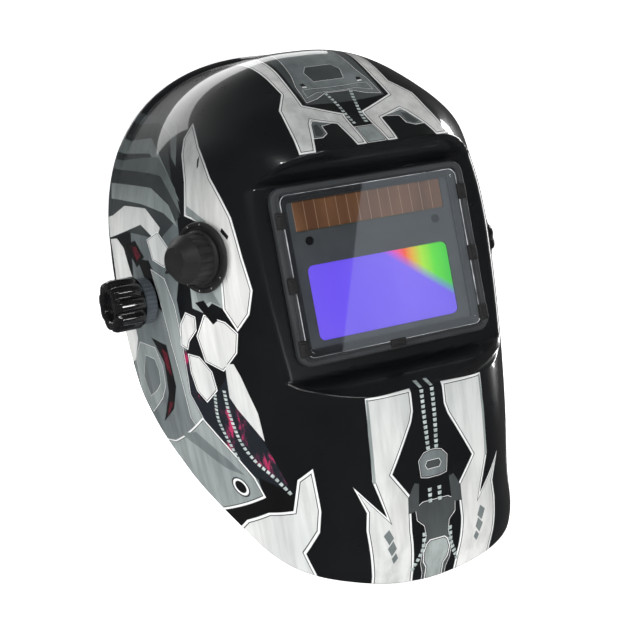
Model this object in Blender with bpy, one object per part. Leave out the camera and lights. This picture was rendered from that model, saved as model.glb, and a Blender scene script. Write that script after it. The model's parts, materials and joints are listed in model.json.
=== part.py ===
"""Welding helmet: hinged face shell with an auto-darkening filter on a ratchet headgear.

Frame: origin at the middle of the wearer's head, +Z up, the wearer looks along -Y.
The wearer's right side is -X.  Lengths are in metres, angles in degrees.
"""
import math

import bpy
import numpy as np
from mathutils import Matrix, Vector

GAP = 0.0003

# Window plane and the axis on which the shell tilts
WINDOW_Y = -0.130
WINDOW_TILT = 4.0
PIVOT_Y = -0.039
PIVOT_Z = -0.004

# Face shell
WALL = 0.0022
SHELL_CENTRE = np.array((0.0, 0.070, -0.004))
SHELL_HALF_WIDTH = 0.1045
SHELL_TAPER = 0.0225
TAPER_START = 0.088
SHELL_NOSE = 0.117
CHIN_NOSE = 0.088
CROWN_Z = 0.128
CHIN_Z = -0.190
CHIN_NARROWING = 0.20
EQUATOR_Y = 0.085
REAR_REACH = 0.26
FLARE = 0.003
FLARE_Z = -0.160
FLARE_SPREAD = 0.018
PLAN_POWER = 4.0
CROWN_PLAN_POWER = 2.6
PROFILE_POWER = 2.5
FOREHEAD_POWER = 1.74
FOREHEAD_PLAN_POWER = 3.8
FOREHEAD_SPAN = 0.55
FOREHEAD_FADE = 1.1
FOREHEAD_Z = (0.050, 0.085)
CREASE = 0.004
BROW = ((0.0, 0.0545), (-0.019, 0.066))
JAW = ((0.0, -0.0545), (-0.027, -0.068))
# Rim: angle from the crown (degrees) against the angle away from straight ahead (radians)
RIM_ANGLES = (0, 14, 31, 52, 62, 71, 80, 100, 120, 130, 138, 147, 154, 160, 165, 173, 180)
RIM_REACH = (1.035, 1.055, 1.10, 1.105, 1.10, 1.095, 1.08, 1.055, 1.065, 1.00, 0.90, 0.82, 0.77, 0.725,
             0.705, 0.706, 0.712)
RIM_SOFTENING = 6
LIP = 0.0035
LIP_SPAN = 0.035
EDGE_STEP = 0.008
SHELL_RINGS = 9
LAND = (0.1285, 0.1025, 0.009)
RECESS = (0.1490, 0.1120, 0.008)
RECESS_DEPTH_ANGLE = 0.03

# Window opening and the filter cartridge; depths are measured outwards from the window plane
OPENING = (0.1186, 0.0926, 0.006)
BEZEL = (0.126, 0.100, 0.008)
BEZEL_FRONT = 0.0043
LENS = (0.1146, 0.0906, 0.0035)
CARTRIDGE = (0.1105, 0.0885, 0.003)
CARTRIDGE_INNER = (0.1075, 0.0855, 0.002)
SOLAR_SIZE = (0.0966, 0.0166)
SOLAR_Z = 0.0327
LCD_SIZE = (0.0912, 0.0414)
LCD_FLANGE = (0.098, 0.047)
LCD_Z = -0.0162
SENSOR_X = 0.0414
SENSOR_Z = 0.0185
DIAL_X = 0.032
DIAL_Z = 0.026
DIAL_RADIUS = 0.006
CLIP_X = 0.0593
CLIP_HEIGHTS = (0.0315, -0.0045, -0.0395)
CLIP_HALF = (0.0029, 0.0045)
CLIP_DEPTHS = (0.0034, 0.0054)
LATCH_HALF_WIDTH = 0.005
LATCH_HEIGHTS = (-0.0490, -0.0446)
GLAND_X = -0.047
PLATE_CHANNEL = 0.0233

# Shade knob, on the wearer's right
SHADE_POINT = Vector((-0.092, -0.096, 0.018))
SHADE_RING_RADIUS = 0.020
SHADE_KNOB_RADIUS = 0.0155
SHADE_KNOB_TOP = 0.0225
SHADE_BORE = 0.0041
POINTER_ANGLE = 200.0
CABLE_RADIUS = 0.0015

# Pivots: distances outwards from the middle plane
ARM_X = 0.0980
ARM_THICKNESS = 0.0025
BOLT_RADIUS = 0.004
BORE_RADIUS = 0.0046
SHELL_BORE = 0.0055
SPACER = (0.1052, 0.1120)
STOP_THICKNESS = 0.0016
KNOB_ENDS = (0.1124, 0.1314)
KNOB_RADIUS = 0.0155

# Headgear
BAND_HALF_WIDTH = 0.0805
BAND_FRONT = 0.0985
BAND_REAR = 0.101
BAND_TILT = -0.30
BAND_THICKNESS = 0.002
BAND_HEIGHT = 0.024
STRAP_HEIGHT = 0.018
STRAP_THICKNESS = 0.0016
CROWN_HALF_WIDTH = 0.083
CROWN_STRAP_Z = 0.104
CROWN_WIDTH = 0.018
SWEAT_THICKNESS = 0.005
RIVET_HOLE = 0.0029
RIVET_Y = 0.022
CROWN_RIVET_Z = -0.002
STRAP_RIVET_Y = 0.048

# Rear ratchet: depths are y positions, the middle is on x = 0
RATCHET_Z = -0.0295
PINION_TEETH = 8
PINION_RADIUS = 0.005
TOOTH_REACH = 0.0009
TAIL_INNER_Y = 0.0973
TAIL_OUTER_Y = 0.0994
TAIL_THICKNESS = 0.0014
TAIL_START = -0.012
TAIL_END = 0.049
TAIL_CURVE = (0.0805, 0.102, 4.0)
HOUSING_HALF = (0.024, 0.016)
RATCHET_KNOB_RADIUS = 0.020


def clear_scene():
    for item in list(bpy.data.objects):
        bpy.data.objects.remove(item, do_unlink=True)


def material(name, colour, roughness=0.45, metallic=0.0, alpha=1.0):
    found = bpy.data.materials.get(name)
    if found:
        return found
    made = bpy.data.materials.new(name)
    made.use_nodes = True
    made.diffuse_color = (*colour, alpha)
    shader = made.node_tree.nodes["Principled BSDF"]
    shader.inputs["Base Color"].default_value = (*colour, 1.0)
    shader.inputs["Roughness"].default_value = roughness
    shader.inputs["Metallic"].default_value = metallic
    shader.inputs["Alpha"].default_value = alpha
    return made


BLACK_GLOSS = ("black_gloss", (0.008, 0.009, 0.011), 0.12)
BLACK_PLASTIC = ("black_plastic", (0.02, 0.021, 0.023), 0.42)
DARK_GREY = ("dark_grey_plastic", (0.045, 0.05, 0.055), 0.4)
GREY_PLASTIC = ("grey_plastic", (0.16, 0.19, 0.21), 0.45)
CLEAR = ("clear_polycarbonate", (0.9, 0.93, 0.95), 0.05, 0.0, 0.3)
SOLAR = ("solar_cell", (0.16, 0.065, 0.03), 0.25)
LCD = ("filter_glass", (0.17, 0.1, 0.7), 0.08)
BOARD = ("circuit_board", (0.02, 0.13, 0.05), 0.4)
STEEL = ("bright_steel", (0.55, 0.56, 0.58), 0.3, 1.0)
BRASS = ("brass", (0.68, 0.48, 0.2), 0.3, 1.0)
FOAM = ("foam_cloth", (0.035, 0.035, 0.04), 0.95)
SENSOR = ("sensor_lens", (0.01, 0.01, 0.014), 0.1)


def empty(name, location=(0, 0, 0), rotation=(0, 0, 0), parent=None):
    made = bpy.data.objects.new(name, None)
    made.location = location
    made.rotation_euler = [math.radians(angle) for angle in rotation]
    made.parent = parent
    bpy.context.scene.collection.objects.link(made)
    return made


def piece(name, verts, faces, look=None, parent=None, smooth_angle=35):
    mesh = bpy.data.meshes.new(name)
    mesh.from_pydata([tuple(v) for v in verts], [], faces)
    mesh.validate()
    made = bpy.data.objects.new(name, mesh)
    made.parent = parent
    bpy.context.scene.collection.objects.link(made)
    if look:
        mesh.materials.append(material(*look))
        mesh.shade_smooth()
        mesh.set_sharp_from_angle(angle=math.radians(smooth_angle))
    return made


def signed_volume(verts, faces):
    total = 0.0
    for face in faces:
        origin = verts[face[0]]
        for left, right in zip(face[1:-1], face[2:]):
            total += origin.dot(verts[left].cross(verts[right]))
    return total


def loft(loops, ring=False):
    """Closed body through equal loops of points; a ring joins its last loop to its first."""
    count = len(loops[0])
    verts = [Vector(point) for loop in loops for point in loop]
    faces = []
    spans = len(loops) if ring else len(loops) - 1
    for row in range(spans):
        low = row * count
        high = ((row + 1) % len(loops)) * count
        for step in range(count):
            after = (step + 1) % count
            faces.append((low + step, low + after, high + after, high + step))
    if not ring:
        faces.append(tuple(reversed(range(count))))
        faces.append(tuple(range(len(verts) - count, len(verts))))
    if signed_volume(verts, faces) < 0:
        faces = [tuple(reversed(face)) for face in faces]
    return verts, faces


def joined(bodies):
    verts, faces = [], []
    for body_verts, body_faces in bodies:
        start = len(verts)
        verts.extend(body_verts)
        faces.extend(tuple(index + start for index in face) for face in body_faces)
    return verts, faces


def rounded(width, height, radius, depth, centre=(0.0, 0.0), steps=4):
    """Rounded rectangle in the window's own plane, at a depth outwards."""
    loop = []
    corners = ((1, 1, 0), (-1, 1, 90), (-1, -1, 180), (1, -1, 270))
    for sign_x, sign_z, start in corners:
        for step in range(steps + 1):
            angle = math.radians(start + 90 * step / steps)
            x = sign_x * (width / 2 - radius) + radius * math.cos(angle)
            z = sign_z * (height / 2 - radius) + radius * math.sin(angle)
            loop.append(Vector((centre[0] + x, -depth, centre[1] + z)))
    return loop


def circle(radius, height, segments=32, flutes=0, depth=0.0, turn=0.0):
    loop = []
    for step in range(segments):
        angle = 2 * math.pi * step / segments + turn
        dip = depth * (0.5 - 0.5 * math.cos(flutes * (angle - turn))) if flutes else 0.0
        loop.append(Vector(((radius - dip) * math.cos(angle), (radius - dip) * math.sin(angle), height)))
    return loop


def hexagonal(radius, height, segments):
    """Hexagon with the same number of points as the circle that it is lofted to."""
    corners = circle(radius, height, 6)
    share = segments // 6
    loop = []
    for left, right in zip(corners, corners[1:] + corners[:1]):
        loop.extend(left.lerp(right, step / share) for step in range(share))
    return loop


def rod(radius, start, end, segments=12):
    """Round rod between two points that lie on a line along X."""
    loops = []
    for x, y, z in (start, end):
        loops.append([Vector((x, y + p.x, z + p.y)) for p in circle(radius, 0, segments)])
    return loft(loops)


def turned(profile, segments=32, ring=False, flutes=0, depth=0.0):
    """Turned body about local Z; a third value of 1 in a profile row gives that row the flutes."""
    loops = []
    for row in profile:
        fluted = len(row) > 2
        loops.append(circle(row[0], row[1], segments, flutes if fluted else 0, depth))
    return loft(loops, ring)


def box(low, high):
    (x0, y0, z0), (x1, y1, z1) = low, high
    return loft([[(x0, y0, z), (x1, y0, z), (x1, y1, z), (x0, y1, z)] for z in (z0, z1)])


def moved(body, offset):
    return [vert + Vector(offset) for vert in body[0]], body[1]


def window_box(half_x, centre, z_range, depth_range):
    return box((centre - half_x, -depth_range[1], z_range[0]), (centre + half_x, -depth_range[0], z_range[1]))


def window_disc(radius, x, z, depth_range, segments=24):
    loops = []
    for depth in depth_range:
        loops.append([Vector((x + p.x, -depth, z + p.y)) for p in circle(radius, 0, segments)])
    return loft(loops)


def boolean(target, body, operation, name):
    tool = piece(name, *body, parent=target.parent)
    tool.hide_render = True
    tool.display_type = "WIRE"
    modifier = target.modifiers.new(operation.title(), "BOOLEAN")
    modifier.operation = operation
    modifier.solver = "EXACT"
    modifier.object = tool
    return tool


def cut(target, body):
    return boolean(target, body, "DIFFERENCE", f"{target.name}_cutter")


def fuse(target, body):
    return boolean(target, body, "UNION", f"{target.name}_addition")


def smooth_path(points, steps=6):
    """Catmull-Rom curve through the given points."""
    points = [Vector(point) for point in points]
    ends = [2 * points[0] - points[1]] + points + [2 * points[-1] - points[-2]]
    path = []
    for a, b, c, d in zip(ends, ends[1:], ends[2:], ends[3:]):
        for step in range(steps):
            t = step / steps
            path.append(0.5 * ((2 * b) + (c - a) * t + (2 * a - 5 * b + 4 * c - d) * t ** 2
                               + (3 * b - a - 3 * c + d) * t ** 3))
    path.append(points[-1])
    return path


def strap(path, width, thickness, up=None):
    """Flat strip along a path; width may be a number or a list with one value for each point."""
    path = [Vector(point) for point in path]
    widths = width if isinstance(width, list) else [width] * len(path)
    loops = []
    for index, point in enumerate(path):
        before = path[max(index - 1, 0)]
        after = path[min(index + 1, len(path) - 1)]
        along = (after - before).normalized()
        across = up or Vector((0, 0, 1))
        face = across.cross(along).normalized()
        half = across * widths[index] / 2
        skin = face * thickness / 2
        loops.append([point + half + skin, point - half + skin, point - half - skin, point + half - skin])
    return loft(loops)


def end_taper(path, width, start_round=False, end_round=True):
    """Strip widths that close in a half circle at the chosen ends."""
    lengths = [0.0]
    for left, right in zip(path, path[1:]):
        lengths.append(lengths[-1] + (right - left).length)
    radius = width / 2
    widths = []
    for length in lengths:
        value = width
        for chosen, away in ((start_round, length), (end_round, lengths[-1] - length)):
            if chosen and away < radius:
                half_chord_squared = radius ** 2 - (radius - away) ** 2
                value = min(value, 2 * math.sqrt(max(half_chord_squared, (radius * 0.3) ** 2)))
        widths.append(value)
    return widths


# ---------------------------------------------------------------- shell surface


def blend_min(a, b, width):
    mix = np.clip(0.5 + 0.5 * (b - a) / width, 0, 1)
    return b * (1 - mix) + a * mix - width * mix * (1 - mix)


def blend_max(a, b, width):
    return -blend_min(-a, -b, width)


def forehead_share(y, z):
    """How fully the sloping forehead takes over from the plain hull: 0 to 1."""
    front = np.clip((EQUATOR_Y - y) / (FOREHEAD_SPAN * SHELL_NOSE), 0, 1)
    height = np.clip((z - FOREHEAD_Z[0]) / (FOREHEAD_Z[1] - FOREHEAD_Z[0]), 0, 1)
    return front * front * (3 - 2 * front) * height * height * (3 - 2 * height)


def hull_level(points):
    """Below zero inside the shell's smooth outer form, above zero outside."""
    x, y, z = points[..., 0], points[..., 1] - WINDOW_Y, points[..., 2]
    down = np.clip(z / CHIN_Z, 0, 1.3)
    up = np.clip(z / CROWN_Z, 0, None)
    flare = FLARE * np.exp(-((z - FLARE_Z) / FLARE_SPREAD) ** 2)
    taper = SHELL_TAPER * np.clip((TAPER_START - y) / TAPER_START, 0, 2) ** 1.5
    half_width = (SHELL_HALF_WIDTH - taper) * (1 - CHIN_NARROWING * down ** 1.8) + flare
    nose = SHELL_NOSE - (SHELL_NOSE - CHIN_NOSE) * down ** 3.2 + flare
    reach = np.where(y < EQUATOR_Y, nose, REAR_REACH)
    share = forehead_share(y, z)
    power = PLAN_POWER + (CROWN_PLAN_POWER - PLAN_POWER) * np.clip(up, 0, 1) ** 2
    power = power + (FOREHEAD_PLAN_POWER - CROWN_PLAN_POWER) * share
    plan = (np.abs(x) / half_width) ** power + (np.abs(y - EQUATOR_Y) / reach) ** power
    middle = share * (1 - FOREHEAD_FADE * np.clip(np.abs(x) / half_width, 0, 1) ** 2)
    profile = PROFILE_POWER + (FOREHEAD_POWER - PROFILE_POWER) * middle
    return plan ** (profile / power) + up ** profile - 1


def plane_entry(directions, y, z, normal_y, normal_z):
    """Distance from the shell's centre to a plane that contains the X direction."""
    length = math.hypot(normal_y, normal_z)
    normal_y, normal_z = normal_y / length, normal_z / length
    rate = directions[:, 1] * normal_y + directions[:, 2] * normal_z
    gap = (y + WINDOW_Y - SHELL_CENTRE[1]) * normal_y + (z - SHELL_CENTRE[2]) * normal_z
    return np.where(rate > 1e-6, np.minimum(gap / np.maximum(rate, 1e-6), 2.0), 2.0)


def shell_distance(directions):
    low, high = np.zeros(len(directions)), np.full(len(directions), 0.45)
    for _ in range(32):
        middle = (low + high) / 2
        inside = hull_level(SHELL_CENTRE + directions * middle[:, None]) < 0
        low, high = np.where(inside, middle, low), np.where(inside, high, middle)
    hull = (low + high) / 2
    tilt = math.radians(WINDOW_TILT)
    window = plane_entry(directions, 0.0, 0.0, -math.cos(tilt), math.sin(tilt))
    (y0, z0), (y1, z1) = BROW
    brow = plane_entry(directions, y0, z0, z0 - z1, y1 - y0)
    (y0, z0), (y1, z1) = JAW
    jaw = plane_entry(directions, y0, z0, z1 - z0, y0 - y1)
    recess = blend_max(np.minimum(blend_max(window, brow, CREASE), 2.0), jaw, CREASE)
    return blend_min(hull, np.minimum(recess, 2.0), CREASE)


def aim(reach, around):
    """Unit direction at an angle away from straight ahead, turned from the crown towards +X."""
    return np.stack([np.sin(reach) * np.sin(around), -np.cos(reach), np.sin(reach) * np.cos(around)], -1)


def rim_reach(around):
    """Rim curve, a polygon of turning angles softened over a few degrees."""
    degrees = np.arange(-180, 181)
    rough = np.interp(np.abs(degrees), RIM_ANGLES, RIM_REACH)
    kernel = np.hanning(2 * RIM_SOFTENING + 1)
    padded = np.concatenate([rough[-RIM_SOFTENING - 1:-1], rough, rough[1:RIM_SOFTENING + 1]])
    soft = np.convolve(padded, kernel / kernel.sum(), mode="valid")
    wrapped = np.degrees((around + np.pi) % (2 * np.pi) - np.pi)
    return np.interp(wrapped, degrees, soft)


def opening_edge():
    """The window opening's rounded edge, as angles away from straight ahead and around."""
    corners = rounded(*OPENING, 0.0)
    edge = []
    for left, right in zip(corners, corners[1:] + corners[:1]):
        spans = max(1, math.ceil((right - left).length / EDGE_STEP))
        edge.extend(left.lerp(right, step / spans) for step in range(spans))
    tilt = Matrix.Rotation(math.radians(-WINDOW_TILT), 3, "X")
    centre = Vector(SHELL_CENTRE)
    directions = [(tilt @ point + Vector((0, WINDOW_Y, 0)) - centre).normalized() for point in edge]
    reach = np.array([math.acos(-direction.y) for direction in directions])
    around = np.unwrap([math.atan2(direction.x, direction.z) for direction in directions])
    return reach, around


def window_reach(around, outline):
    """Where a rounded rectangle drawn on the window plane lies, as angles away from straight ahead."""
    tilt = math.radians(WINDOW_TILT)
    width, height, radius = outline
    low, high = np.full(len(around), 0.05), np.full(len(around), 1.0)
    for _ in range(40):
        middle = (low + high) / 2
        directions = aim(middle, around)
        distance = plane_entry(directions, 0.0, 0.0, -math.cos(tilt), math.sin(tilt))
        hit = SHELL_CENTRE + directions * distance[:, None]
        across = np.abs(hit[:, 0]) - (width / 2 - radius)
        along = np.abs(hit[:, 2] / math.cos(tilt)) - (height / 2 - radius)
        outside = np.hypot(np.maximum(across, 0), np.maximum(along, 0)) - radius
        inside = outside + np.minimum(np.maximum(across, along), 0) < 0
        low, high = np.where(inside, middle, low), np.where(inside, high, middle)
    return (low + high) / 2


def shell_points(reach, around):
    directions = aim(reach, around)
    return SHELL_CENTRE + directions * shell_distance(directions)[:, None]


def shell_normals(reach, around):
    step = 0.003
    outwards = shell_points(reach + step, around) - shell_points(reach - step, around)
    sideways = shell_points(reach, around + step) - shell_points(reach, around - step)
    normals = np.cross(outwards, sideways)
    normals /= np.linalg.norm(normals, axis=1)[:, None]
    facing = np.sum(normals * aim(reach, around), axis=1)
    return normals * np.sign(facing)[:, None]


def lip_height(reach, around):
    """Outward turn of the crown's rear edge."""
    rise = np.clip((reach - rim_reach(around) + LIP_SPAN) / (0.6 * LIP_SPAN), 0, 1)
    crown = np.clip((np.cos(around) - 0.3) / 0.4, 0, 1)
    return LIP * crown * rise * rise * (3 - 2 * rise)


def shell_body():
    """Thin wall between the window opening and the rim, as rings of points around the face."""
    opening, around = opening_edge()
    rings = [(opening, around), (window_reach(around, LAND), around), (window_reach(around, RECESS), around)]
    even = around[0] + np.sign(around[1] - around[0]) * np.arange(len(around)) * 2 * np.pi / len(around)
    even += np.mean(around - even)
    for ring in range(SHELL_RINGS + 1):
        part = ring / SHELL_RINGS
        turned_to = around + (even - around) * part
        start = window_reach(turned_to, RECESS) + RECESS_DEPTH_ANGLE
        rings.append((start + (rim_reach(turned_to) - LIP_SPAN - start) * part, turned_to))
    rings.append((rim_reach(even) - 0.45 * LIP_SPAN, even))
    rings.append((rim_reach(even), even))
    outer, inner = [], []
    for reach, around in rings:
        normals = shell_normals(reach, around)
        skin = shell_points(reach, around) + normals * lip_height(reach, around)[:, None]
        outer.append([Vector(point) for point in skin])
        inner.append([Vector(point) for point in skin - normals * WALL])
    return loft(outer + inner[::-1], ring=True)


def on_shell(target):
    """Point and outward normal of the shell's outer face nearest a target, seen from its centre."""
    direction = (target - Vector(SHELL_CENTRE)).normalized()
    reach = np.array([math.acos(-direction.y)])
    around = np.array([math.atan2(direction.x, direction.z)])
    return Vector(shell_points(reach, around)[0]), Vector(shell_normals(reach, around)[0])


# ---------------------------------------------------------------- face shell side


def make_shell(parent, shade_axis):
    verts, faces = shell_body()
    shell = piece("shell", [vert - parent.location for vert in verts], faces, BLACK_GLOSS, parent)
    half_span = KNOB_ENDS[1]
    cut(shell, rod(SHELL_BORE, (-half_span, 0, 0), (half_span, 0, 0), 24))
    hole = turned([(SHADE_BORE, -0.012), (SHADE_BORE, 0.012)], 24)
    tool = cut(shell, hole)
    tool.parent = shade_axis


def make_bezel(parent):
    width, height, radius = BEZEL
    loops = [rounded(width, height, radius, GAP),
             rounded(width, height, radius, 0.0033),
             rounded(width - 0.0016, height - 0.0016, radius - 0.0008, BEZEL_FRONT),
             rounded(0.1170, 0.0930, 0.004, BEZEL_FRONT),
             rounded(0.1156, 0.0916, 0.004, 0.0036),
             rounded(0.1156, 0.0916, 0.004, 0.0018),
             rounded(0.1060, 0.0820, 0.004, 0.0018),
             rounded(0.1060, 0.0820, 0.004, GAP),
             rounded(0.1114, 0.0894, 0.003, GAP),
             rounded(0.1114, 0.0894, 0.003, -0.006),
             rounded(0.1176, 0.0916, 0.005, -0.006),
             rounded(0.1176, 0.0916, 0.005, GAP)]
    bezel = piece("front_bezel", *loft(loops, ring=True), BLACK_PLASTIC, parent)
    half_x, half_z = CLIP_HALF
    clips = [window_box(LATCH_HALF_WIDTH, 0.0, LATCH_HEIGHTS, CLIP_DEPTHS)]
    for side in (-1, 1):
        for height in CLIP_HEIGHTS:
            clips.append(window_box(half_x, side * CLIP_X, (height - half_z, height + half_z), CLIP_DEPTHS))
    fuse(bezel, joined(clips))


def make_lens(parent):
    width, height, radius = LENS
    loops = [rounded(width, height, radius, 0.0021),
             rounded(width, height, radius, 0.0030),
             rounded(0.1116, 0.0876, radius, 0.0030),
             rounded(0.1108, 0.0868, 0.0032, 0.0042),
             rounded(0.1086, 0.0846, 0.003, 0.0042),
             rounded(0.1078, 0.0838, 0.003, 0.0030)]
    piece("front_cover_lens", *loft(loops), CLEAR, parent)


def tray(outer, inner, face, floor, edge):
    return loft([rounded(*outer, face), rounded(*outer, edge), rounded(*inner, edge), rounded(*inner, floor)])


def make_cartridge(parent):
    front_tray = tray(CARTRIDGE, CARTRIDGE_INNER, 0.0, -0.002, -0.0045)
    front = piece("adf_front_housing", *front_tray, DARK_GREY, parent)
    through = (0.001, -0.004)
    holes = [loft([rounded(0.0972, 0.0172, 0.001, depth, (0, SOLAR_Z)) for depth in through]),
             loft([rounded(0.0920, 0.0422, 0.0035, depth, (0, LCD_Z)) for depth in through])]
    holes += [window_disc(0.0026, side * SENSOR_X, SENSOR_Z, through) for side in (-1, 1)]
    cut(front, joined(holes))

    rear_tray = tray(CARTRIDGE, CARTRIDGE_INNER, -0.0105, -0.009, -0.0048)
    rear = piece("adf_rear_housing", *rear_tray, DARK_GREY, parent)
    through = (-0.007, -0.012)
    holes = [loft([rounded(0.0930, 0.0430, 0.0035, depth, (0, LCD_Z)) for depth in through])]
    holes += [window_disc(0.0027, side * DIAL_X, DIAL_Z, through) for side in (-1, 1)]
    cut(rear, joined(holes))
    for side in (1, -1):
        base = LCD_Z + side * PLATE_CHANNEL
        wall = sorted((base, base + side * 0.0022))
        lip = sorted((base - side * 0.0016, base + side * 0.0022))
        fuse(rear, window_box(0.050, 0.0, wall, (-0.0130, -0.0103)))
        fuse(rear, window_box(0.050, 0.0, lip, (-0.0130, -0.0122)))
    fuse(rear, window_disc(0.003, GLAND_X, DIAL_Z, (-0.0103, -0.014), 16))


def make_cartridge_contents(parent):
    depths = (-0.0018, -0.0003)
    panel = loft([rounded(*SOLAR_SIZE, 0.0008, depth, (0, SOLAR_Z)) for depth in depths])
    piece("solar_panel", *panel, SOLAR, parent)

    width, height = LCD_SIZE
    wide, tall = LCD_FLANGE
    rows = ((width, height, -0.0006), (width, height, -0.0023), (wide, tall, -0.0023),
            (wide, tall, -0.0044), (width, height, -0.0044), (width, height, -0.0072))
    block = loft([rounded(w, h, 0.003, depth, (0, LCD_Z)) for w, h, depth in rows])
    piece("lcd_filter", *block, LCD, parent)

    for side, label in ((-1, "right"), (1, "left")):
        lens = window_disc(0.0022, side * SENSOR_X, SENSOR_Z, (-0.0048, -0.0008), 16)
        piece(f"arc_sensor_{label}", *lens, SENSOR, parent)

    plate = window_box(0.052, 0.0, (0.0095, 0.0415), (-0.0064, -0.0052))
    board = piece("circuit_board", *plate, BOARD, parent)
    for side in (-1, 1):
        fuse(board, window_disc(0.005, side * DIAL_X, DIAL_Z, (-0.0062, -0.0086), 20))
    for x, z, half in ((-0.019, 0.016, 0.004), (0.019, 0.034, 0.003), (0.046, 0.018, 0.003)):
        fuse(board, window_box(half, x, (z - half, z + half), (-0.0078, -0.0062)))
    piece("backup_battery", *window_disc(0.008, 0.0, 0.0255, (-0.0087, -0.0067), 28), STEEL, parent)


def make_dial(name, side, parent):
    axis = empty(f"{name}_axis", (side * DIAL_X, 0, DIAL_Z), (-90, 0, 0), parent)
    profile = [(0.0022, 0.0089), (0.0022, 0.0109), (DIAL_RADIUS, 0.0109), (DIAL_RADIUS, 0.0111, 1),
               (DIAL_RADIUS, 0.0133, 1), (0.0054, 0.0139), (0.0046, 0.0139)]
    dial = piece(name, *turned(profile, 24, flutes=12, depth=0.0005), BLACK_PLASTIC, axis)
    cut(dial, box((-0.0005, -0.0042, 0.0127), (0.0005, 0.0042, 0.0150)))


def make_inner_frame(parent):
    outer_wall = (0.1216, 0.0956, 0.006)
    inner_wall = (0.1190, 0.0930, 0.0055)
    lip = (0.1060, 0.0852, 0.003)
    loops = [rounded(*BEZEL, -WALL - GAP),
             rounded(*BEZEL, -0.0045),
             rounded(*outer_wall, -0.0045),
             rounded(*outer_wall, -0.0125),
             rounded(*lip, -0.0125),
             rounded(*lip, -0.0109),
             rounded(*inner_wall, -0.0109),
             rounded(*inner_wall, -WALL - GAP)]
    piece("inner_frame", *loft(loops, ring=True), BLACK_PLASTIC, parent)
    depths = (-0.0119, -0.0109)
    pane = loft([rounded(0.096, 0.0458, 0.003, depth, (0, LCD_Z)) for depth in depths])
    piece("inner_cover_lens", *pane, CLEAR, parent)


def make_shade_control(axis):
    ring = [(SHADE_BORE, 0.0005), (0.0195, 0.0005), (SHADE_RING_RADIUS, 0.0010),
            (SHADE_RING_RADIUS, 0.0022), (0.0193, 0.0029), (0.0177, 0.0029), (0.0173, 0.0021),
            (SHADE_BORE, 0.0021)]
    piece("shade_scale_ring", *turned(ring, 30, ring=True), BLACK_PLASTIC, axis)

    low, high = 0.0024, 0.0047
    nut = [circle(0.0040, low, 24), circle(0.0040, high, 24), hexagonal(0.0069, high, 24),
           hexagonal(0.0069, low, 24)]
    piece("shade_pot_nut", *loft(nut, ring=True), STEEL, axis)

    pot = [(0.0085, -0.0110), (0.0085, -0.0029), (0.0036, -0.0029), (0.0036, 0.0048), (0.0029, 0.0048),
           (0.0029, 0.0130)]
    piece("shade_potentiometer", *turned(pot, 24), STEEL, axis)

    top = SHADE_KNOB_TOP
    knob = [(0.0032, 0.0136), (0.0032, 0.0054), (0.0082, 0.0054), (0.0082, 0.0025),
            (SHADE_KNOB_RADIUS, 0.0025), (SHADE_KNOB_RADIUS, 0.0040), (0.0143, 0.0047),
            (0.0143, 0.0048, 1), (0.0137, 0.0150, 1), (0.0128, 0.0162), (0.0088, top - 0.0012),
            (0.0076, top)]
    made = piece("shade_knob", *turned(knob, 36, flutes=12, depth=0.0007), BLACK_PLASTIC, axis)
    turn = Matrix.Rotation(math.radians(POINTER_ANGLE), 3, "Z")
    pointer = []
    for z, tip in ((0.0118, 0.0182), (0.0160, 0.0172)):
        corners = ((0.004, 0.0062, z), (0.004, -0.0062, z), (tip, 0, z))
        pointer.append([turn @ Vector(corner) for corner in corners])
    fuse(made, loft(pointer))


def make_shade_cable(axis, window):
    """Lead from the potentiometer's back to the cartridge's gland, held inside the shell."""
    into_shell = axis.matrix_world.to_3x3() @ Vector((0, 0, -1))
    socket = axis.matrix_world @ Vector((0, 0, -0.0113))
    gland = window.matrix_world @ Vector((GLAND_X, 0.0143, DIAL_Z))
    backwards = window.matrix_world.to_3x3() @ Vector((0, 1, 0))
    route = [gland, gland + backwards * 0.004, gland + Vector((-0.004, 0.0095, -0.001)),
             gland + Vector((-0.013, 0.0135, -0.003)), socket + Vector((0.013, 0.001, 0.003)),
             socket + into_shell * 0.004 + Vector((0.001, -0.0005, 0.0005)), socket]
    curve = bpy.data.curves.new("shade_cable", "CURVE")
    curve.dimensions = "3D"
    curve.bevel_depth = CABLE_RADIUS
    curve.bevel_resolution = 2
    curve.use_fill_caps = True
    points = smooth_path(route, 3)
    spline = curve.splines.new("POLY")
    spline.points.add(len(points) - 1)
    for slot, point in zip(spline.points, points):
        slot.co = (*point, 1.0)
    curve.materials.append(material(*BLACK_PLASTIC))
    bpy.context.scene.collection.objects.link(bpy.data.objects.new("shade_cable", curve))


# ---------------------------------------------------------------- pivots


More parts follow.
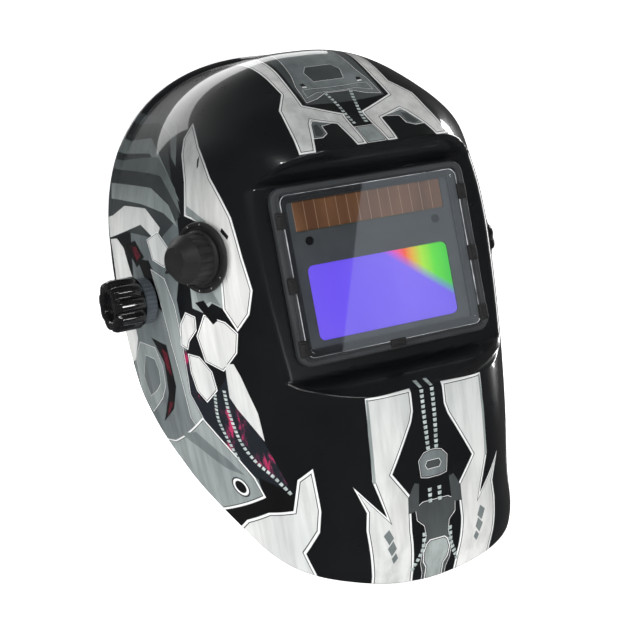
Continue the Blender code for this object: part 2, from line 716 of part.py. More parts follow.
def make_pivot(label, axis):
    near, far = KNOB_ENDS
    pocket = near + 0.0090
    knob = [(BORE_RADIUS, pocket + 0.0032), (BORE_RADIUS, pocket), (0.0069, pocket), (0.0069, near),
            (0.0140, near), (0.0146, near + 0.0010, 1), (KNOB_RADIUS, near + 0.0020, 1),
            (KNOB_RADIUS, far - 0.0025, 1), (0.0142, far - 0.0003, 1), (0.0095, far),
            (0.0085, far - 0.0010), (0.0085, far - 0.0030)]
    piece(f"tension_knob_{label}", *turned(knob, 36, flutes=9, depth=0.0019), BLACK_GLOSS, axis, 50)

    insert = [circle(0.0043, near + 0.0004, 24), circle(0.0043, pocket - GAP, 24),
              hexagonal(0.0065, pocket - GAP, 24), hexagonal(0.0065, near + 0.0004, 24)]
    piece(f"knob_insert_{label}", *loft(insert, ring=True), BRASS, axis)

    low, high = SPACER
    spacer = [(BORE_RADIUS, low), (0.0128, low), (0.0134, low + 0.0006, 1), (0.0134, high - 0.0006, 1),
              (0.0128, high), (BORE_RADIUS, high)]
    ribbed = turned(spacer, 30, ring=True, flutes=15, depth=0.0006)
    piece(f"pivot_spacer_{label}", *ribbed, GREY_PLASTIC, axis)

    head = ARM_X - ARM_THICKNESS / 2 - 0.0004
    bolt = [hexagonal(0.0075, head - 0.0036, 24), hexagonal(0.0075, head, 24), circle(BOLT_RADIUS, head, 24),
            circle(BOLT_RADIUS, pocket + 0.0026, 24), circle(0.0034, pocket + 0.0029, 24)]
    piece(f"pivot_bolt_{label}", *loft(bolt), STEEL, axis)

    bottom = ARM_X + ARM_THICKNESS / 2 + GAP
    top = bottom + STOP_THICKNESS
    plate = [(BORE_RADIUS, bottom), (0.0115, bottom), (0.0115, top), (BORE_RADIUS, top)]
    stop = piece(f"stop_plate_{label}", *turned(plate, 24, ring=True), STEEL, axis)
    fuse(stop, box((-0.005, 0.009, bottom), (0.005, 0.026, top)))
    for step in range(3):
        slot = turned([(0.0016, bottom - 0.001), (0.0016, top + 0.001)], 10)
        cut(stop, moved(slot, (0, 0.0145 + 0.0042 * step, 0)))


def make_side_arm(label, side):
    points = [(-0.0832, 0.032), (-0.0840, 0.020), (-0.0865, 0.008), (-0.0900, -0.006), (-0.0945, -0.019),
              (-0.0976, -0.029), (-ARM_X, -0.037), (-ARM_X, -0.050)]
    path = smooth_path([(-side * x, y, PIVOT_Z) for x, y in points], 3)
    arm = piece(f"side_arm_{label}", *strap(path, end_taper(path, 0.022, True), ARM_THICKNESS), BLACK_PLASTIC)
    cut(arm, rod(BORE_RADIUS, (side * 0.090, PIVOT_Y, PIVOT_Z), (side * 0.110, PIVOT_Y, PIVOT_Z), 24))
    cut(arm, rod(RIVET_HOLE, (side * 0.070, RIVET_Y, PIVOT_Z), (side * 0.090, RIVET_Y, PIVOT_Z), 16))


# ---------------------------------------------------------------- headgear


def band_point(turn, grow=0.0):
    """Point on the headband's middle line; 0 is the forehead, 180 the back of the head."""
    angle = math.radians(turn)
    power = 2.0 if math.cos(angle) > 0 else 3.0
    front = BAND_FRONT if math.cos(angle) > 0 else BAND_REAR
    x = (BAND_HALF_WIDTH + grow) * math.copysign(abs(math.sin(angle)) ** (2 / power), math.sin(angle))
    y = -(front + grow) * math.copysign(abs(math.cos(angle)) ** (2 / power), math.cos(angle))
    return Vector((x, y, BAND_TILT * y))


def rivet(side, inner, outer, y, z, shaft=0.0023, head=0.0040, head_height=0.0010):
    """Two-headed rivet along X between an inner and an outer face."""
    rows = ((head, inner - head_height), (head, inner), (shaft, inner), (shaft, outer), (head, outer),
            (head, outer + head_height))
    loops = []
    for radius, x in rows:
        loops.append([Vector((side * x, y + p.x, z + p.y)) for p in circle(radius, 0, 12)])
    return loft(loops)


def make_headband():
    turns = np.linspace(-118, 118, 33)
    path = [band_point(turn) for turn in turns]
    widths = [BAND_HEIGHT - 0.005 * min(abs(turn) / 90, 1.0) for turn in turns]
    band = piece("headband", *strap(path, widths, BAND_THICKNESS), BLACK_PLASTIC)
    for side in (-1, 1):
        rivets = ((RIVET_Y, PIVOT_Z), (0.0, CROWN_RIVET_Z), (STRAP_RIVET_Y, BAND_TILT * STRAP_RIVET_Y))
        for y, z in rivets:
            cut(band, rod(RIVET_HOLE, (side * 0.060, y, z), (side * 0.095, y, z)))

    turns = np.linspace(-52, 52, 19)
    inset = -(BAND_THICKNESS / 2 + GAP + SWEAT_THICKNESS / 2)
    path = [band_point(turn, inset) for turn in turns]
    piece("sweatband", *strap(path, end_taper(path, 0.032, True), SWEAT_THICKNESS), FOAM)


def crown_line(side, grow, start, end, steps=16):
    """Arc over the head in the plane y = 0, from its side (0 degrees) towards the far side."""
    path = []
    for turn in np.linspace(start, end, steps):
        angle = math.radians(turn)
        path.append(Vector((side * (CROWN_HALF_WIDTH + grow) * math.cos(angle), 0.0,
                            (CROWN_STRAP_Z + grow) * math.sin(angle))))
    return path


def make_crown_straps():
    for label, side, grow in (("right", -1, 0.0), ("left", 1, 0.0019)):
        path = [Vector((side * CROWN_HALF_WIDTH, 0, -0.010)), Vector((side * CROWN_HALF_WIDTH, 0, -0.004))]
        path += crown_line(side, 0.0, 2, 62, 10) + crown_line(side, grow, 74, 100, 5)
        body = strap(path, end_taper(path, CROWN_WIDTH, True), STRAP_THICKNESS, Vector((0, 1, 0)))
        made = piece(f"crown_strap_{label}", *body, BLACK_PLASTIC)
        cut(made, rod(RIVET_HOLE, (side * 0.075, 0, CROWN_RIVET_Z), (side * 0.092, 0, CROWN_RIVET_Z)))
        for x in (-0.005, 0.005):
            peg_hole = turned([(0.0024, CROWN_STRAP_Z - 0.006), (0.0024, CROWN_STRAP_Z + 0.008)], 12)
            cut(made, moved(peg_hole, (x, 0, 0)))
    top = CROWN_STRAP_Z
    plate = box((-0.009, -0.006, top - 0.0040), (0.009, 0.006, top - 0.0019))
    button = piece("crown_peg", *plate, BLACK_PLASTIC)
    for x in (-0.005, 0.005):
        fuse(button, moved(turned([(0.0019, top - 0.003), (0.0019, top + 0.0045)], 12), (x, 0, 0)))


def tail_curve(x):
    """Depth of the squarer back of the headgear, which the rack tails and rear straps follow."""
    half_width, reach, power = TAIL_CURVE
    return reach * (1 - (max(x, 0) / half_width) ** power) ** (1 / power)


def make_rear_straps():
    for label, side, layer_y in (("right", -1, TAIL_INNER_Y), ("left", 1, TAIL_OUTER_Y)):
        route = [band_point(side * turn, 0.0023) for turn in (102, 108, 115, 122, 130)]
        for x in (0.0655, 0.061, 0.056):
            route.append(Vector((side * x, tail_curve(x), BAND_TILT * tail_curve(x))))
        route.append(Vector((side * (TAIL_END + 0.001), min(layer_y, tail_curve(TAIL_END)), RATCHET_Z)))
        path = smooth_path(route, 2)
        body = strap(path, end_taper(path, STRAP_HEIGHT, True, False), STRAP_THICKNESS)
        made = piece(f"rear_strap_{label}", *body, BLACK_PLASTIC)
        y, z = STRAP_RIVET_Y, BAND_TILT * STRAP_RIVET_Y
        cut(made, rod(RIVET_HOLE, (side * 0.060, y, z), (side * 0.095, y, z)))


def make_rivets():
    for label, side in (("right", -1), ("left", 1)):
        crown = rivet(side, 0.0791, 0.0842, 0.0, CROWN_RIVET_Z)
        piece(f"crown_strap_rivet_{label}", *crown, STEEL)
        arm = rivet(side, 0.0786, 0.0861, RIVET_Y, PIVOT_Z)
        piece(f"side_arm_rivet_{label}", *arm, STEEL)
        rear = rivet(side, 0.0751, 0.0818, STRAP_RIVET_Y, BAND_TILT * STRAP_RIVET_Y)
        piece(f"rear_strap_rivet_{label}", *rear, STEEL)


# ---------------------------------------------------------------- rear ratchet


def pinion_outline(height):
    """Straight-sided teeth, narrow enough to run in the racks with play."""
    pitch_angle = 2 * math.pi / PINION_TEETH
    root, tip = PINION_RADIUS - 0.0013, PINION_RADIUS + TOOTH_REACH
    shape = ((root, -0.30), (tip, -0.11), (tip, 0.11), (root, 0.30))
    loop = []
    for tooth in range(PINION_TEETH):
        for radius, offset in shape:
            angle = (tooth + offset) * pitch_angle + math.pi / 2
            loop.append(Vector((radius * math.cos(angle), radius * math.sin(angle), height)))
    return loop


def rack_slot(side, depth_range):
    """Toothed slot through a tail; side 1 puts the teeth on the upper edge of local Y."""
    pitch = 2 * math.pi * PINION_RADIUS / PINION_TEETH
    smooth_edge = -side * (PINION_RADIUS + 0.0020)
    line = side * PINION_RADIUS
    start, end = -0.0080, 0.0080 + 4 * pitch
    points = [(start, smooth_edge), (start, line + side * 0.0016)]
    first = math.ceil(start / pitch)
    for tooth in range(first, int(end / pitch)):
        middle = (tooth + 0.5) * pitch
        for offset, reach in ((-0.29, 0.0016), (-0.10, -TOOTH_REACH), (0.10, -TOOTH_REACH), (0.29, 0.0016)):
            points.append((middle + offset * pitch, line + side * reach))
    points += [(end, line + side * 0.0016), (end, smooth_edge)]
    return [[Vector((x, y, depth)) for x, y in points] for depth in depth_range]


def make_tail(label, side, layer_y, tooth_side, axis):
    """Toothed strap end; local Z is world +Y, local Y is world -Z."""
    stations = np.linspace(TAIL_START, TAIL_END, 22)
    path = [Vector((side * x, 0, min(layer_y, tail_curve(x)))) for x in stations]
    body = strap(path, STRAP_HEIGHT, TAIL_THICKNESS, Vector((0, 1, 0)))
    tail = piece(f"rack_tail_{label}", *body, BLACK_PLASTIC, axis)
    loops = rack_slot(tooth_side, (layer_y - 0.003, layer_y + 0.003))
    cut(tail, loft([[Vector((side * point.x, point.y, point.z)) for point in loop] for loop in loops]))


def make_ratchet(axis):
    half_x, half_y = HOUSING_HALF
    block = box((-half_x, -half_y, 0.0940), (half_x, half_y, 0.1014))
    housing = piece("ratchet_housing", *block, BLACK_PLASTIC, axis)
    cut(housing, box((-half_x - 0.005, -0.0096, 0.0962), (half_x + 0.005, 0.0096, 0.1050)))
    lid = box((-half_x, -half_y, 0.1017), (half_x, half_y, 0.1040))
    cover = piece("ratchet_cover", *lid, BLACK_PLASTIC, axis)
    cut(cover, turned([(0.0036, 0.100), (0.0036, 0.106)], 24))
    corners = [(x, y) for x in (-0.018, 0.018) for y in (-0.0128, 0.0128)]
    for number, (x, y) in enumerate(corners, 1):
        hole = turned([(0.0017, 0.092), (0.0017, 0.1034)], 12)
        cut(housing, moved(hole, (x, y, 0)))
        cut(cover, moved(hole, (x, y, 0)))
        shape = turned([(0.0026, 0.0926), (0.0026, 0.0937), (0.0013, 0.0937), (0.0013, 0.1031)], 12)
        piece(f"ratchet_screw_{number}", *moved(shape, (x, y, 0)), STEEL, axis)

    low, high = 0.0965, 0.1012
    pinion = piece("ratchet_pinion", *loft([pinion_outline(low), pinion_outline(high)]), GREY_PLASTIC, axis)
    fuse(pinion, turned([(0.0030, 0.1000), (0.0030, 0.1125)], 24))

    knob = [(0.0034, 0.1130), (0.0034, 0.1043), (0.0170, 0.1043), (0.0185, 0.1050, 1),
            (RATCHET_KNOB_RADIUS, 0.1070, 1), (RATCHET_KNOB_RADIUS, 0.1180, 1), (0.0180, 0.1210, 1),
            (0.0150, 0.1216), (0.0140, 0.1206), (0.0060, 0.1206)]
    piece("ratchet_knob", *turned(knob, 36, flutes=12, depth=0.0016), BLACK_PLASTIC, axis, 50)

    pad = [(0.060, 0.028, 0.008, -0.0840), (0.066, 0.034, 0.010, -0.0860), (0.068, 0.036, 0.011, -0.0900),
           (0.066, 0.034, 0.010, -0.0922)]
    loops = [[Vector((p.x, p.z, p.y)) for p in rounded(*row)] for row in pad]
    piece("rear_pad", *loft(loops), FOAM, axis)


def main():
    clear_scene()
    tilt_axis = empty("shell_tilt_axis", (0, PIVOT_Y, PIVOT_Z))
    window = empty("window_frame", (0, WINDOW_Y, 0), (-WINDOW_TILT, 0, 0))
    spot, normal = on_shell(SHADE_POINT)
    shade_axis = empty("shade_axis", spot)
    shade_axis.rotation_euler = normal.to_track_quat("Z", "Y").to_euler()
    bpy.context.view_layer.update()

    make_shell(tilt_axis, shade_axis)
    make_bezel(window)
    make_lens(window)
    make_cartridge(window)
    make_cartridge_contents(window)
    make_dial("sensitivity_dial", -1, window)
    make_dial("delay_dial", 1, window)
    make_inner_frame(window)
    make_shade_control(shade_axis)
    make_shade_cable(shade_axis, window)

    for label, side in (("right", -1), ("left", 1)):
        pivot_axis = empty(f"pivot_axis_{label}", (0, PIVOT_Y, PIVOT_Z), (0, 90 * side, 0))
        make_pivot(label, pivot_axis)
        make_side_arm(label, side)

    make_headband()
    make_crown_straps()
    make_rear_straps()
    make_rivets()
    ratchet_axis = empty("ratchet_axis", (0, 0, RATCHET_Z), (-90, 0, 0))
    make_tail("right", -1, TAIL_INNER_Y, 1, ratchet_axis)
    make_tail("left", 1, TAIL_OUTER_Y, -1, ratchet_axis)
    make_ratchet(ratchet_axis)


main()
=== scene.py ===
"""Looks of the welding helmet: gloss printed shell, filter window, knobs and ratchet headgear.

Metres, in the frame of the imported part: the origin is the middle of the wearer's head, +Z is up and
the wearer looks along -Y.  Panel outlines are in millimetres on the shell.
"""
import json
import math

import bpy
import numpy as np
from mathutils import Matrix, Vector
from mathutils.geometry import delaunay_2d_cdt


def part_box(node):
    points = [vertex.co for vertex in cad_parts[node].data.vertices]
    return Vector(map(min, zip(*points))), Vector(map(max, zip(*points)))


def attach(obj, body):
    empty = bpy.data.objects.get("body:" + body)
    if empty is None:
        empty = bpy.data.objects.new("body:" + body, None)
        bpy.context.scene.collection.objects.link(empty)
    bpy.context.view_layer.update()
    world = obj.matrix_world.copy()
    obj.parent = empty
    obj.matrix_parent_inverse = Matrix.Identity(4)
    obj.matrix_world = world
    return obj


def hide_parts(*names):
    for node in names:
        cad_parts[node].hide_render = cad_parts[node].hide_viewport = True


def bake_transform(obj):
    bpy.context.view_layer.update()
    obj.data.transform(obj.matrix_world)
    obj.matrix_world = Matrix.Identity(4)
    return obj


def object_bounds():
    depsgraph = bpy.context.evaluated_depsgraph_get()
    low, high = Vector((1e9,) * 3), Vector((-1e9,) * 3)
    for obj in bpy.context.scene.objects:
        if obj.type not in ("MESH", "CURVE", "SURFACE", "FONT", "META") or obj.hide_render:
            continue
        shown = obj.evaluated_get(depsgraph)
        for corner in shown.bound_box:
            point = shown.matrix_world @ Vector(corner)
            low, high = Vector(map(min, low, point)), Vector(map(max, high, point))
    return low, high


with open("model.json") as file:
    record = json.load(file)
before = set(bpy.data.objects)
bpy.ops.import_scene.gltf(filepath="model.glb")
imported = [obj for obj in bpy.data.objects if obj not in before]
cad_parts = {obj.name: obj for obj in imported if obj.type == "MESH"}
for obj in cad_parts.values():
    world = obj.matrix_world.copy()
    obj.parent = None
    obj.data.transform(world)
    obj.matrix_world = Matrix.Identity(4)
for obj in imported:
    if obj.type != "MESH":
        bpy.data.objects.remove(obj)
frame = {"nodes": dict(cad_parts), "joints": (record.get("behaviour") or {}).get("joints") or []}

CAD_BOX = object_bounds()
JOINTS = {joint["name"]: joint for joint in frame["joints"]}
NODES = frame["nodes"]

# Window plane and tilt axis, as in the frame
WINDOW_Y = -0.130
WINDOW_TILT = 4.0
WINDOW = Matrix.Translation((0, WINDOW_Y, 0)) @ Matrix.Rotation(math.radians(-WINDOW_TILT), 4, "X")
PIVOT = Vector(JOINTS["shell_tilt"]["pos_m"])
SHADE_SPOT = Vector(JOINTS["shade_turn"]["pos_m"])
SHADE_NORMAL = Vector(JOINTS["shade_turn"]["axis"])
RATCHET_Z = JOINTS["ratchet_turn"]["pos_m"][2]

UP = Vector((0, 0, 1))
GAP = 0.0003

# Headgear
BAND_HALF_WIDTH = 0.0805
BAND_FRONT = 0.0985
BAND_REAR = 0.101
BAND_TILT = -0.30
BAND_THICKNESS = 0.002
BAND_HEIGHT = 0.024
STRAP_HEIGHT = 0.018
STRAP_THICKNESS = 0.0016
CROWN_HALF_WIDTH = 0.083
CROWN_STRAP_Z = 0.104
CROWN_WIDTH = 0.018
SWEAT_THICKNESS = 0.005
SWEAT_TURN = 52.0
SWEAT_HALF_HEIGHT = 0.016
SWEAT_HEM = 0.84
RIVET_HOLE = 0.0029
PEG_HOLE = 0.0024
RIVET_Y = 0.022
CROWN_RIVET_Z = -0.002
STRAP_RIVET_Y = 0.048
TAIL_INNER_Y = 0.0973
TAIL_OUTER_Y = 0.0994
TAIL_END = 0.049
TAIL_CURVE = (0.0805, 0.102, 4.0)
PAD_SIZE = (0.068, 0.036, 0.011)
PAD_BACK_Y = 0.0922
PAD_EDGE_Y = 0.0908
PAD_SWELL = 0.0067
PAD_SEAM = 0.0115
PAD_HEM = 0.86
PAD_BACK_ROWS = ((0.05, PAD_BACK_Y), (0.5, PAD_BACK_Y), (0.94, PAD_BACK_Y), (0.985, PAD_BACK_Y),
                 (1, PAD_BACK_Y - 0.0007))
PAD_SHARES = (1.0, 0.995, 0.98, 0.95, 0.92, 0.89, 0.86, 0.83, 0.8, 0.75, 0.68, 0.6, 0.5, 0.4, 0.3, 0.2,
              0.1, 0.02)

# Shell form; the powers shape its plan and its profile
WALL = 0.0022
SHELL_CENTRE = np.array((0.0, 0.070, -0.004))
SHELL_HALF_WIDTH = 0.1045
SHELL_TAPER = 0.0225
TAPER_START = 0.088
TAPER_POWER = 1.5
SHELL_NOSE = 0.117
CHIN_NOSE = 0.088
CROWN_Z = 0.128
CHIN_Z = -0.190
CHIN_NARROWING = 0.20
NARROWING_POWER = 1.8
CHIN_NOSE_POWER = 3.2
BELOW_CHIN = 1.3
EQUATOR_Y = 0.085
REAR_REACH = 0.26
FLARE = 0.003
FLARE_Z = -0.160
FLARE_SPREAD = 0.018
PLAN_POWER = 4.0
CROWN_PLAN_POWER = 2.6
PROFILE_POWER = 2.5
FOREHEAD_POWER = 1.74
FOREHEAD_PLAN_POWER = 3.8
FOREHEAD_SPAN = 0.55
FOREHEAD_FADE = 1.1
FOREHEAD_Z = (0.050, 0.085)
CREASE = 0.004
BROW = ((0.0, 0.0545), (-0.019, 0.066))
JAW = ((0.0, -0.0545), (-0.027, -0.068))
RIM_ANGLES = (0, 14, 31, 52, 62, 71, 80, 100, 120, 130, 138, 147, 154, 160, 165, 173, 180)
RIM_REACH = (1.035, 1.055, 1.10, 1.105, 1.10, 1.095, 1.08, 1.055, 1.065, 1.00, 0.90, 0.82, 0.77, 0.725,
             0.705, 0.706, 0.712)
RIM_SOFTENING = 6
LIP = 0.0035
LIP_SPAN = 0.035
OPENING = (0.1186, 0.0926, 0.006)
SHELL_BORE = 0.0055
SHADE_BORE = 0.0041

# Limits of the searches for a surface, and what stands for a plane that is never met
RAY_START, RAY_END = 0.0, 0.45
OPENING_SEARCH = (0.05, 1.0)
RAY_HALVINGS = 32
FINE_HALVINGS = 40
NEVER = 2.0
TINY = 1e-6

# Printed beads along a hose, in millimetres
BEAD_PITCH = 2.1
BEAD_LENGTH = 1.35
BEAD_WIDTH = 1.9

# Thread stitches, and the angle between the sweatband's sewn channels
STITCH_LENGTH = 0.0023
STITCH_PITCH = 0.0034
STITCH_RADIUS = 0.0003
STITCH_LIFT = 0.0001
CHANNEL_TURN = 13.0

# Fineness of the shell's mesh
SPOKES = 400
RECESS_RINGS = 34
OUTER_RINGS = 42
RECESS_SPAN = 0.22
EDGE_STEP = 0.011
EDGE_ROWS = 3
EDGE_SWELL = 0.6
MILLIMETRE = 0.0056
NORMAL_STEP = 0.003


# ---------------------------------------------------------------- shell surface


def blend_min(a, b, width):
    """Smaller of two distances, rounded over a width where they meet."""
    mix = np.clip(0.5 + 0.5 * (b - a) / width, 0, 1)
    return b * (1 - mix) + a * mix - width * mix * (1 - mix)


def blend_max(a, b, width):
    return -blend_min(-a, -b, width)


def forehead_share(y, z):
    """How fully the sloping forehead takes over from the plain hull: 0 to 1."""
    front = np.clip((EQUATOR_Y - y) / (FOREHEAD_SPAN * SHELL_NOSE), 0, 1)
    height = np.clip((z - FOREHEAD_Z[0]) / (FOREHEAD_Z[1] - FOREHEAD_Z[0]), 0, 1)
    return front * front * (3 - 2 * front) * height * height * (3 - 2 * height)


def hull_level(points):
    """Below zero inside the shell's smooth outer form, above zero outside."""
    x, y, z = points[..., 0], points[..., 1] - WINDOW_Y, points[..., 2]
    down = np.clip(z / CHIN_Z, 0, BELOW_CHIN)
    up = np.clip(z / CROWN_Z, 0, None)
    flare = FLARE * np.exp(-((z - FLARE_Z) / FLARE_SPREAD) ** 2)
    taper = SHELL_TAPER * np.clip((TAPER_START - y) / TAPER_START, 0, 2) ** TAPER_POWER
    half_width = (SHELL_HALF_WIDTH - taper) * (1 - CHIN_NARROWING * down ** NARROWING_POWER) + flare
    nose = SHELL_NOSE - (SHELL_NOSE - CHIN_NOSE) * down ** CHIN_NOSE_POWER + flare
    reach = np.where(y < EQUATOR_Y, nose, REAR_REACH)
    share = forehead_share(y, z)
    power = PLAN_POWER + (CROWN_PLAN_POWER - PLAN_POWER) * np.clip(up, 0, 1) ** 2
    power = power + (FOREHEAD_PLAN_POWER - CROWN_PLAN_POWER) * share
    plan = (np.abs(x) / half_width) ** power + (np.abs(y - EQUATOR_Y) / reach) ** power
    middle = share * (1 - FOREHEAD_FADE * np.clip(np.abs(x) / half_width, 0, 1) ** 2)
    profile = PROFILE_POWER + (FOREHEAD_POWER - PROFILE_POWER) * middle
    return plan ** (profile / power) + up ** profile - 1


def plane_entry(directions, y, z, normal_y, normal_z):
    """Distance from the shell's centre to a plane that contains the X direction."""
    length = math.hypot(normal_y, normal_z)
    normal_y, normal_z = normal_y / length, normal_z / length
    rate = directions[:, 1] * normal_y + directions[:, 2] * normal_z
    gap = (y + WINDOW_Y - SHELL_CENTRE[1]) * normal_y + (z - SHELL_CENTRE[2]) * normal_z
    return np.where(rate > TINY, np.minimum(gap / np.maximum(rate, TINY), NEVER), NEVER)


def window_entry(directions):
    """Distance from the shell's centre to the tilted plane that the window frame lies on."""
    tilt = math.radians(WINDOW_TILT)
    return plane_entry(directions, 0.0, 0.0, -math.cos(tilt), math.sin(tilt))


def halved(low, high, is_inside, times):
    """Where each ray leaves a form, by halving the stretch between two distances."""
    for _ in range(times):
        middle = (low + high) / 2
        inside = is_inside(middle)
        low, high = np.where(inside, middle, low), np.where(inside, high, middle)
    return (low + high) / 2


def shell_distance(directions):
    """Distance from the shell's centre to its outer skin, with the recess round the window cut in."""
    start, end = (np.full(len(directions), value) for value in (RAY_START, RAY_END))
    hull = halved(start, end, lambda reach: hull_level(SHELL_CENTRE + directions * reach[:, None]) < 0,
                  RAY_HALVINGS)
    (y0, z0), (y1, z1) = BROW
    brow = plane_entry(directions, y0, z0, z0 - z1, y1 - y0)
    (y0, z0), (y1, z1) = JAW
    jaw = plane_entry(directions, y0, z0, z1 - z0, y0 - y1)
    recess = blend_max(np.minimum(blend_max(window_entry(directions), brow, CREASE), NEVER), jaw, CREASE)
    return blend_min(hull, np.minimum(recess, NEVER), CREASE)


def aim(reach, around):
    """Unit direction at an angle away from straight ahead, turned from the crown towards +X."""
    return np.stack([np.sin(reach) * np.sin(around), -np.cos(reach), np.sin(reach) * np.cos(around)], -1)


def rim_reach(around):
    """Where the shell ends, as angles away from straight ahead, softened between the given points."""
    degrees = np.arange(-180, 181)
    rough = np.interp(np.abs(degrees), RIM_ANGLES, RIM_REACH)
    kernel = np.hanning(2 * RIM_SOFTENING + 1)
    padded = np.concatenate([rough[-RIM_SOFTENING - 1:-1], rough, rough[1:RIM_SOFTENING + 1]])
    soft = np.convolve(padded, kernel / kernel.sum(), mode="valid")
    wrapped = np.degrees((around + np.pi) % (2 * np.pi) - np.pi)
    return np.interp(wrapped, degrees, soft)


def opening_reach(around):
    """Where the window opening's rounded rectangle lies, as angles away from straight ahead."""
    tilt = math.radians(WINDOW_TILT)
    width, height, radius = OPENING

    def is_inside(reach):
        directions = aim(reach, around)
        hit = SHELL_CENTRE + directions * window_entry(directions)[:, None]
        across = np.abs(hit[:, 0]) - (width / 2 - radius)
        along_edge = np.abs(hit[:, 2] / math.cos(tilt)) - (height / 2 - radius)
        outside = np.hypot(np.maximum(across, 0), np.maximum(along_edge, 0)) - radius
        return outside + np.minimum(np.maximum(across, along_edge), 0) < 0

    start, end = (np.full(len(around), value) for value in OPENING_SEARCH)
    return halved(start, end, is_inside, FINE_HALVINGS)


def base_points(reach, around):
    """Outer skin of the shell before its edge is turned out."""
    directions = aim(reach, around)
    return SHELL_CENTRE + directions * shell_distance(directions)[:, None]


def normals_of(surface, reach, around):
    """Outward normals of a surface given as a function of the two angles."""
    outwards = surface(reach + NORMAL_STEP, around) - surface(reach - NORMAL_STEP, around)
    sideways = surface(reach, around + NORMAL_STEP) - surface(reach, around - NORMAL_STEP)
    normals = np.cross(outwards, sideways)
    normals /= np.linalg.norm(normals, axis=1)[:, None]
    facing = np.sum(normals * aim(reach, around), axis=1)
    return normals * np.sign(facing)[:, None]


def lip_height(reach, around):
    """Outward turn of the crown's rear edge."""
    rise = np.clip((reach - rim_reach(around) + LIP_SPAN) / (0.6 * LIP_SPAN), 0, 1)
    crown = np.clip((np.cos(around) - 0.3) / 0.4, 0, 1)
    return LIP * crown * rise * rise * (3 - 2 * rise)


def skin_points(reach, around):
    """Outer skin of the shell with the crown's turned-out edge."""
    raised = normals_of(base_points, reach, around) * lip_height(reach, around)[:, None]
    return base_points(reach, around) + raised


def to_chart(reach, around):
    """Flat map of the shell: the window's middle is its centre, and the distance from it is the reach."""
    return np.stack([reach * np.sin(around), reach * np.cos(around)], -1)


def from_chart(chart):
    """Reach and turn of places in the flat map."""
    return np.hypot(chart[:, 0], chart[:, 1]), np.arctan2(chart[:, 0], chart[:, 1])


def chart_of(points, plane, side=1):
    """Chart places of outline points given in two coordinates; the third is found on the shell."""
    flat = np.array(points, float) / 1000
    columns, missing, far = {"side": ((1, 2), 0, -0.13), "front": ((0, 2), 1, -0.26),
                             "crown": ((0, 1), 2, 0.16)}[plane]
    spots = np.zeros((len(flat), 3))
    spots[:, columns[0]], spots[:, columns[1]] = flat[:, 0], flat[:, 1]

    def is_inside(value):
        spots[:, missing] = value
        return hull_level(spots) < 0

    start, end = (np.full(len(flat), value) for value in (SHELL_CENTRE[missing], far))
    spots[:, missing] = halved(start, end, is_inside, FINE_HALVINGS)
    away = spots - SHELL_CENTRE
    away /= np.linalg.norm(away, axis=1)[:, None]
    chart = to_chart(np.arccos(-away[:, 1]), np.arctan2(away[:, 0], away[:, 2]))
    chart[:, 0] *= side
    return chart


# ---------------------------------------------------------------- materials


def new_material(name):
    """New material with its node tree."""
    made = bpy.data.materials.new(name)
    made.use_nodes = True
    return made, made.node_tree


def node(tree, kind, **settings):
    """New node; each setting is an input's value or a property of the node."""
    made = tree.nodes.new(kind)
    for key, value in settings.items():
        if key in made.inputs:
            made.inputs[key].default_value = value
        else:
            setattr(made, key, value)
    return made


def feed(tree, socket, value):
    """Link a socket to another node's output, or give it a plain value; a colour gets its alpha."""
    if isinstance(value, bpy.types.NodeSocket):
        tree.links.new(value, socket)
    elif socket.type == "RGBA":
        socket.default_value = (*value, 1)
    else:
        socket.default_value = value


def shade(tree, **values):
    """Feed the shader's inputs, named in small letters with underscores."""
    sockets = {socket.name.lower(): socket for socket in tree.nodes["Principled BSDF"].inputs}
    for name, value in values.items():
        feed(tree, sockets[name.replace("_", " ")], value)


def mixed(tree, factor, first, second, blend_type="MIX"):
    """Mix of two colours, each a plain colour or another node's output."""
    made = node(tree, "ShaderNodeMix", data_type="RGBA", blend_type=blend_type)
    colour_sockets = made.inputs["Factor"], made.inputs[6], made.inputs[7]
    for socket, value in zip(colour_sockets, (factor, first, second)):
        feed(tree, socket, value)
    return made.outputs[2]


def noise(tree, scale, detail, stretch=(1, 1, 1), roughness=0.55):
    """Noise in object space, drawn out along the axes whose stretch is below 1."""
    place = node(tree, "ShaderNodeTexCoord")
    mapping = node(tree, "ShaderNodeMapping", Scale=stretch)
    texture = node(tree, "ShaderNodeTexNoise", Scale=scale, Detail=detail, Roughness=roughness)
    tree.links.new(place.outputs["Object"], mapping.inputs["Vector"])
    tree.links.new(mapping.outputs["Vector"], texture.inputs["Vector"])
    return texture.outputs["Fac"]


def ramp(tree, source, stops):
    """Colour ramp with (place, colour) stops."""
    made = node(tree, "ShaderNodeValToRGB")
    band = made.color_ramp
    while len(band.elements) < len(stops):
        band.elements.new(0.5)
    for element, (place, colour) in zip(band.elements, stops):
        element.position = place
        element.color = (*colour, 1)
    tree.links.new(source, made.inputs["Fac"])
    return made.outputs["Color"]


def span(tree, source, low, high):
    """Value from 0 to 1 spread between two values."""
    made = node(tree, "ShaderNodeMapRange")
    made.inputs["To Min"].default_value = low
    made.inputs["To Max"].default_value = high
    tree.links.new(source, made.inputs["Value"])
    return made.outputs["Result"]


def bump(tree, source, strength, distance):
    """Relief from a height."""
    made = node(tree, "ShaderNodeBump", Strength=strength, Distance=distance)
    tree.links.new(source, made.inputs["Height"])
    return made.outputs["Normal"]


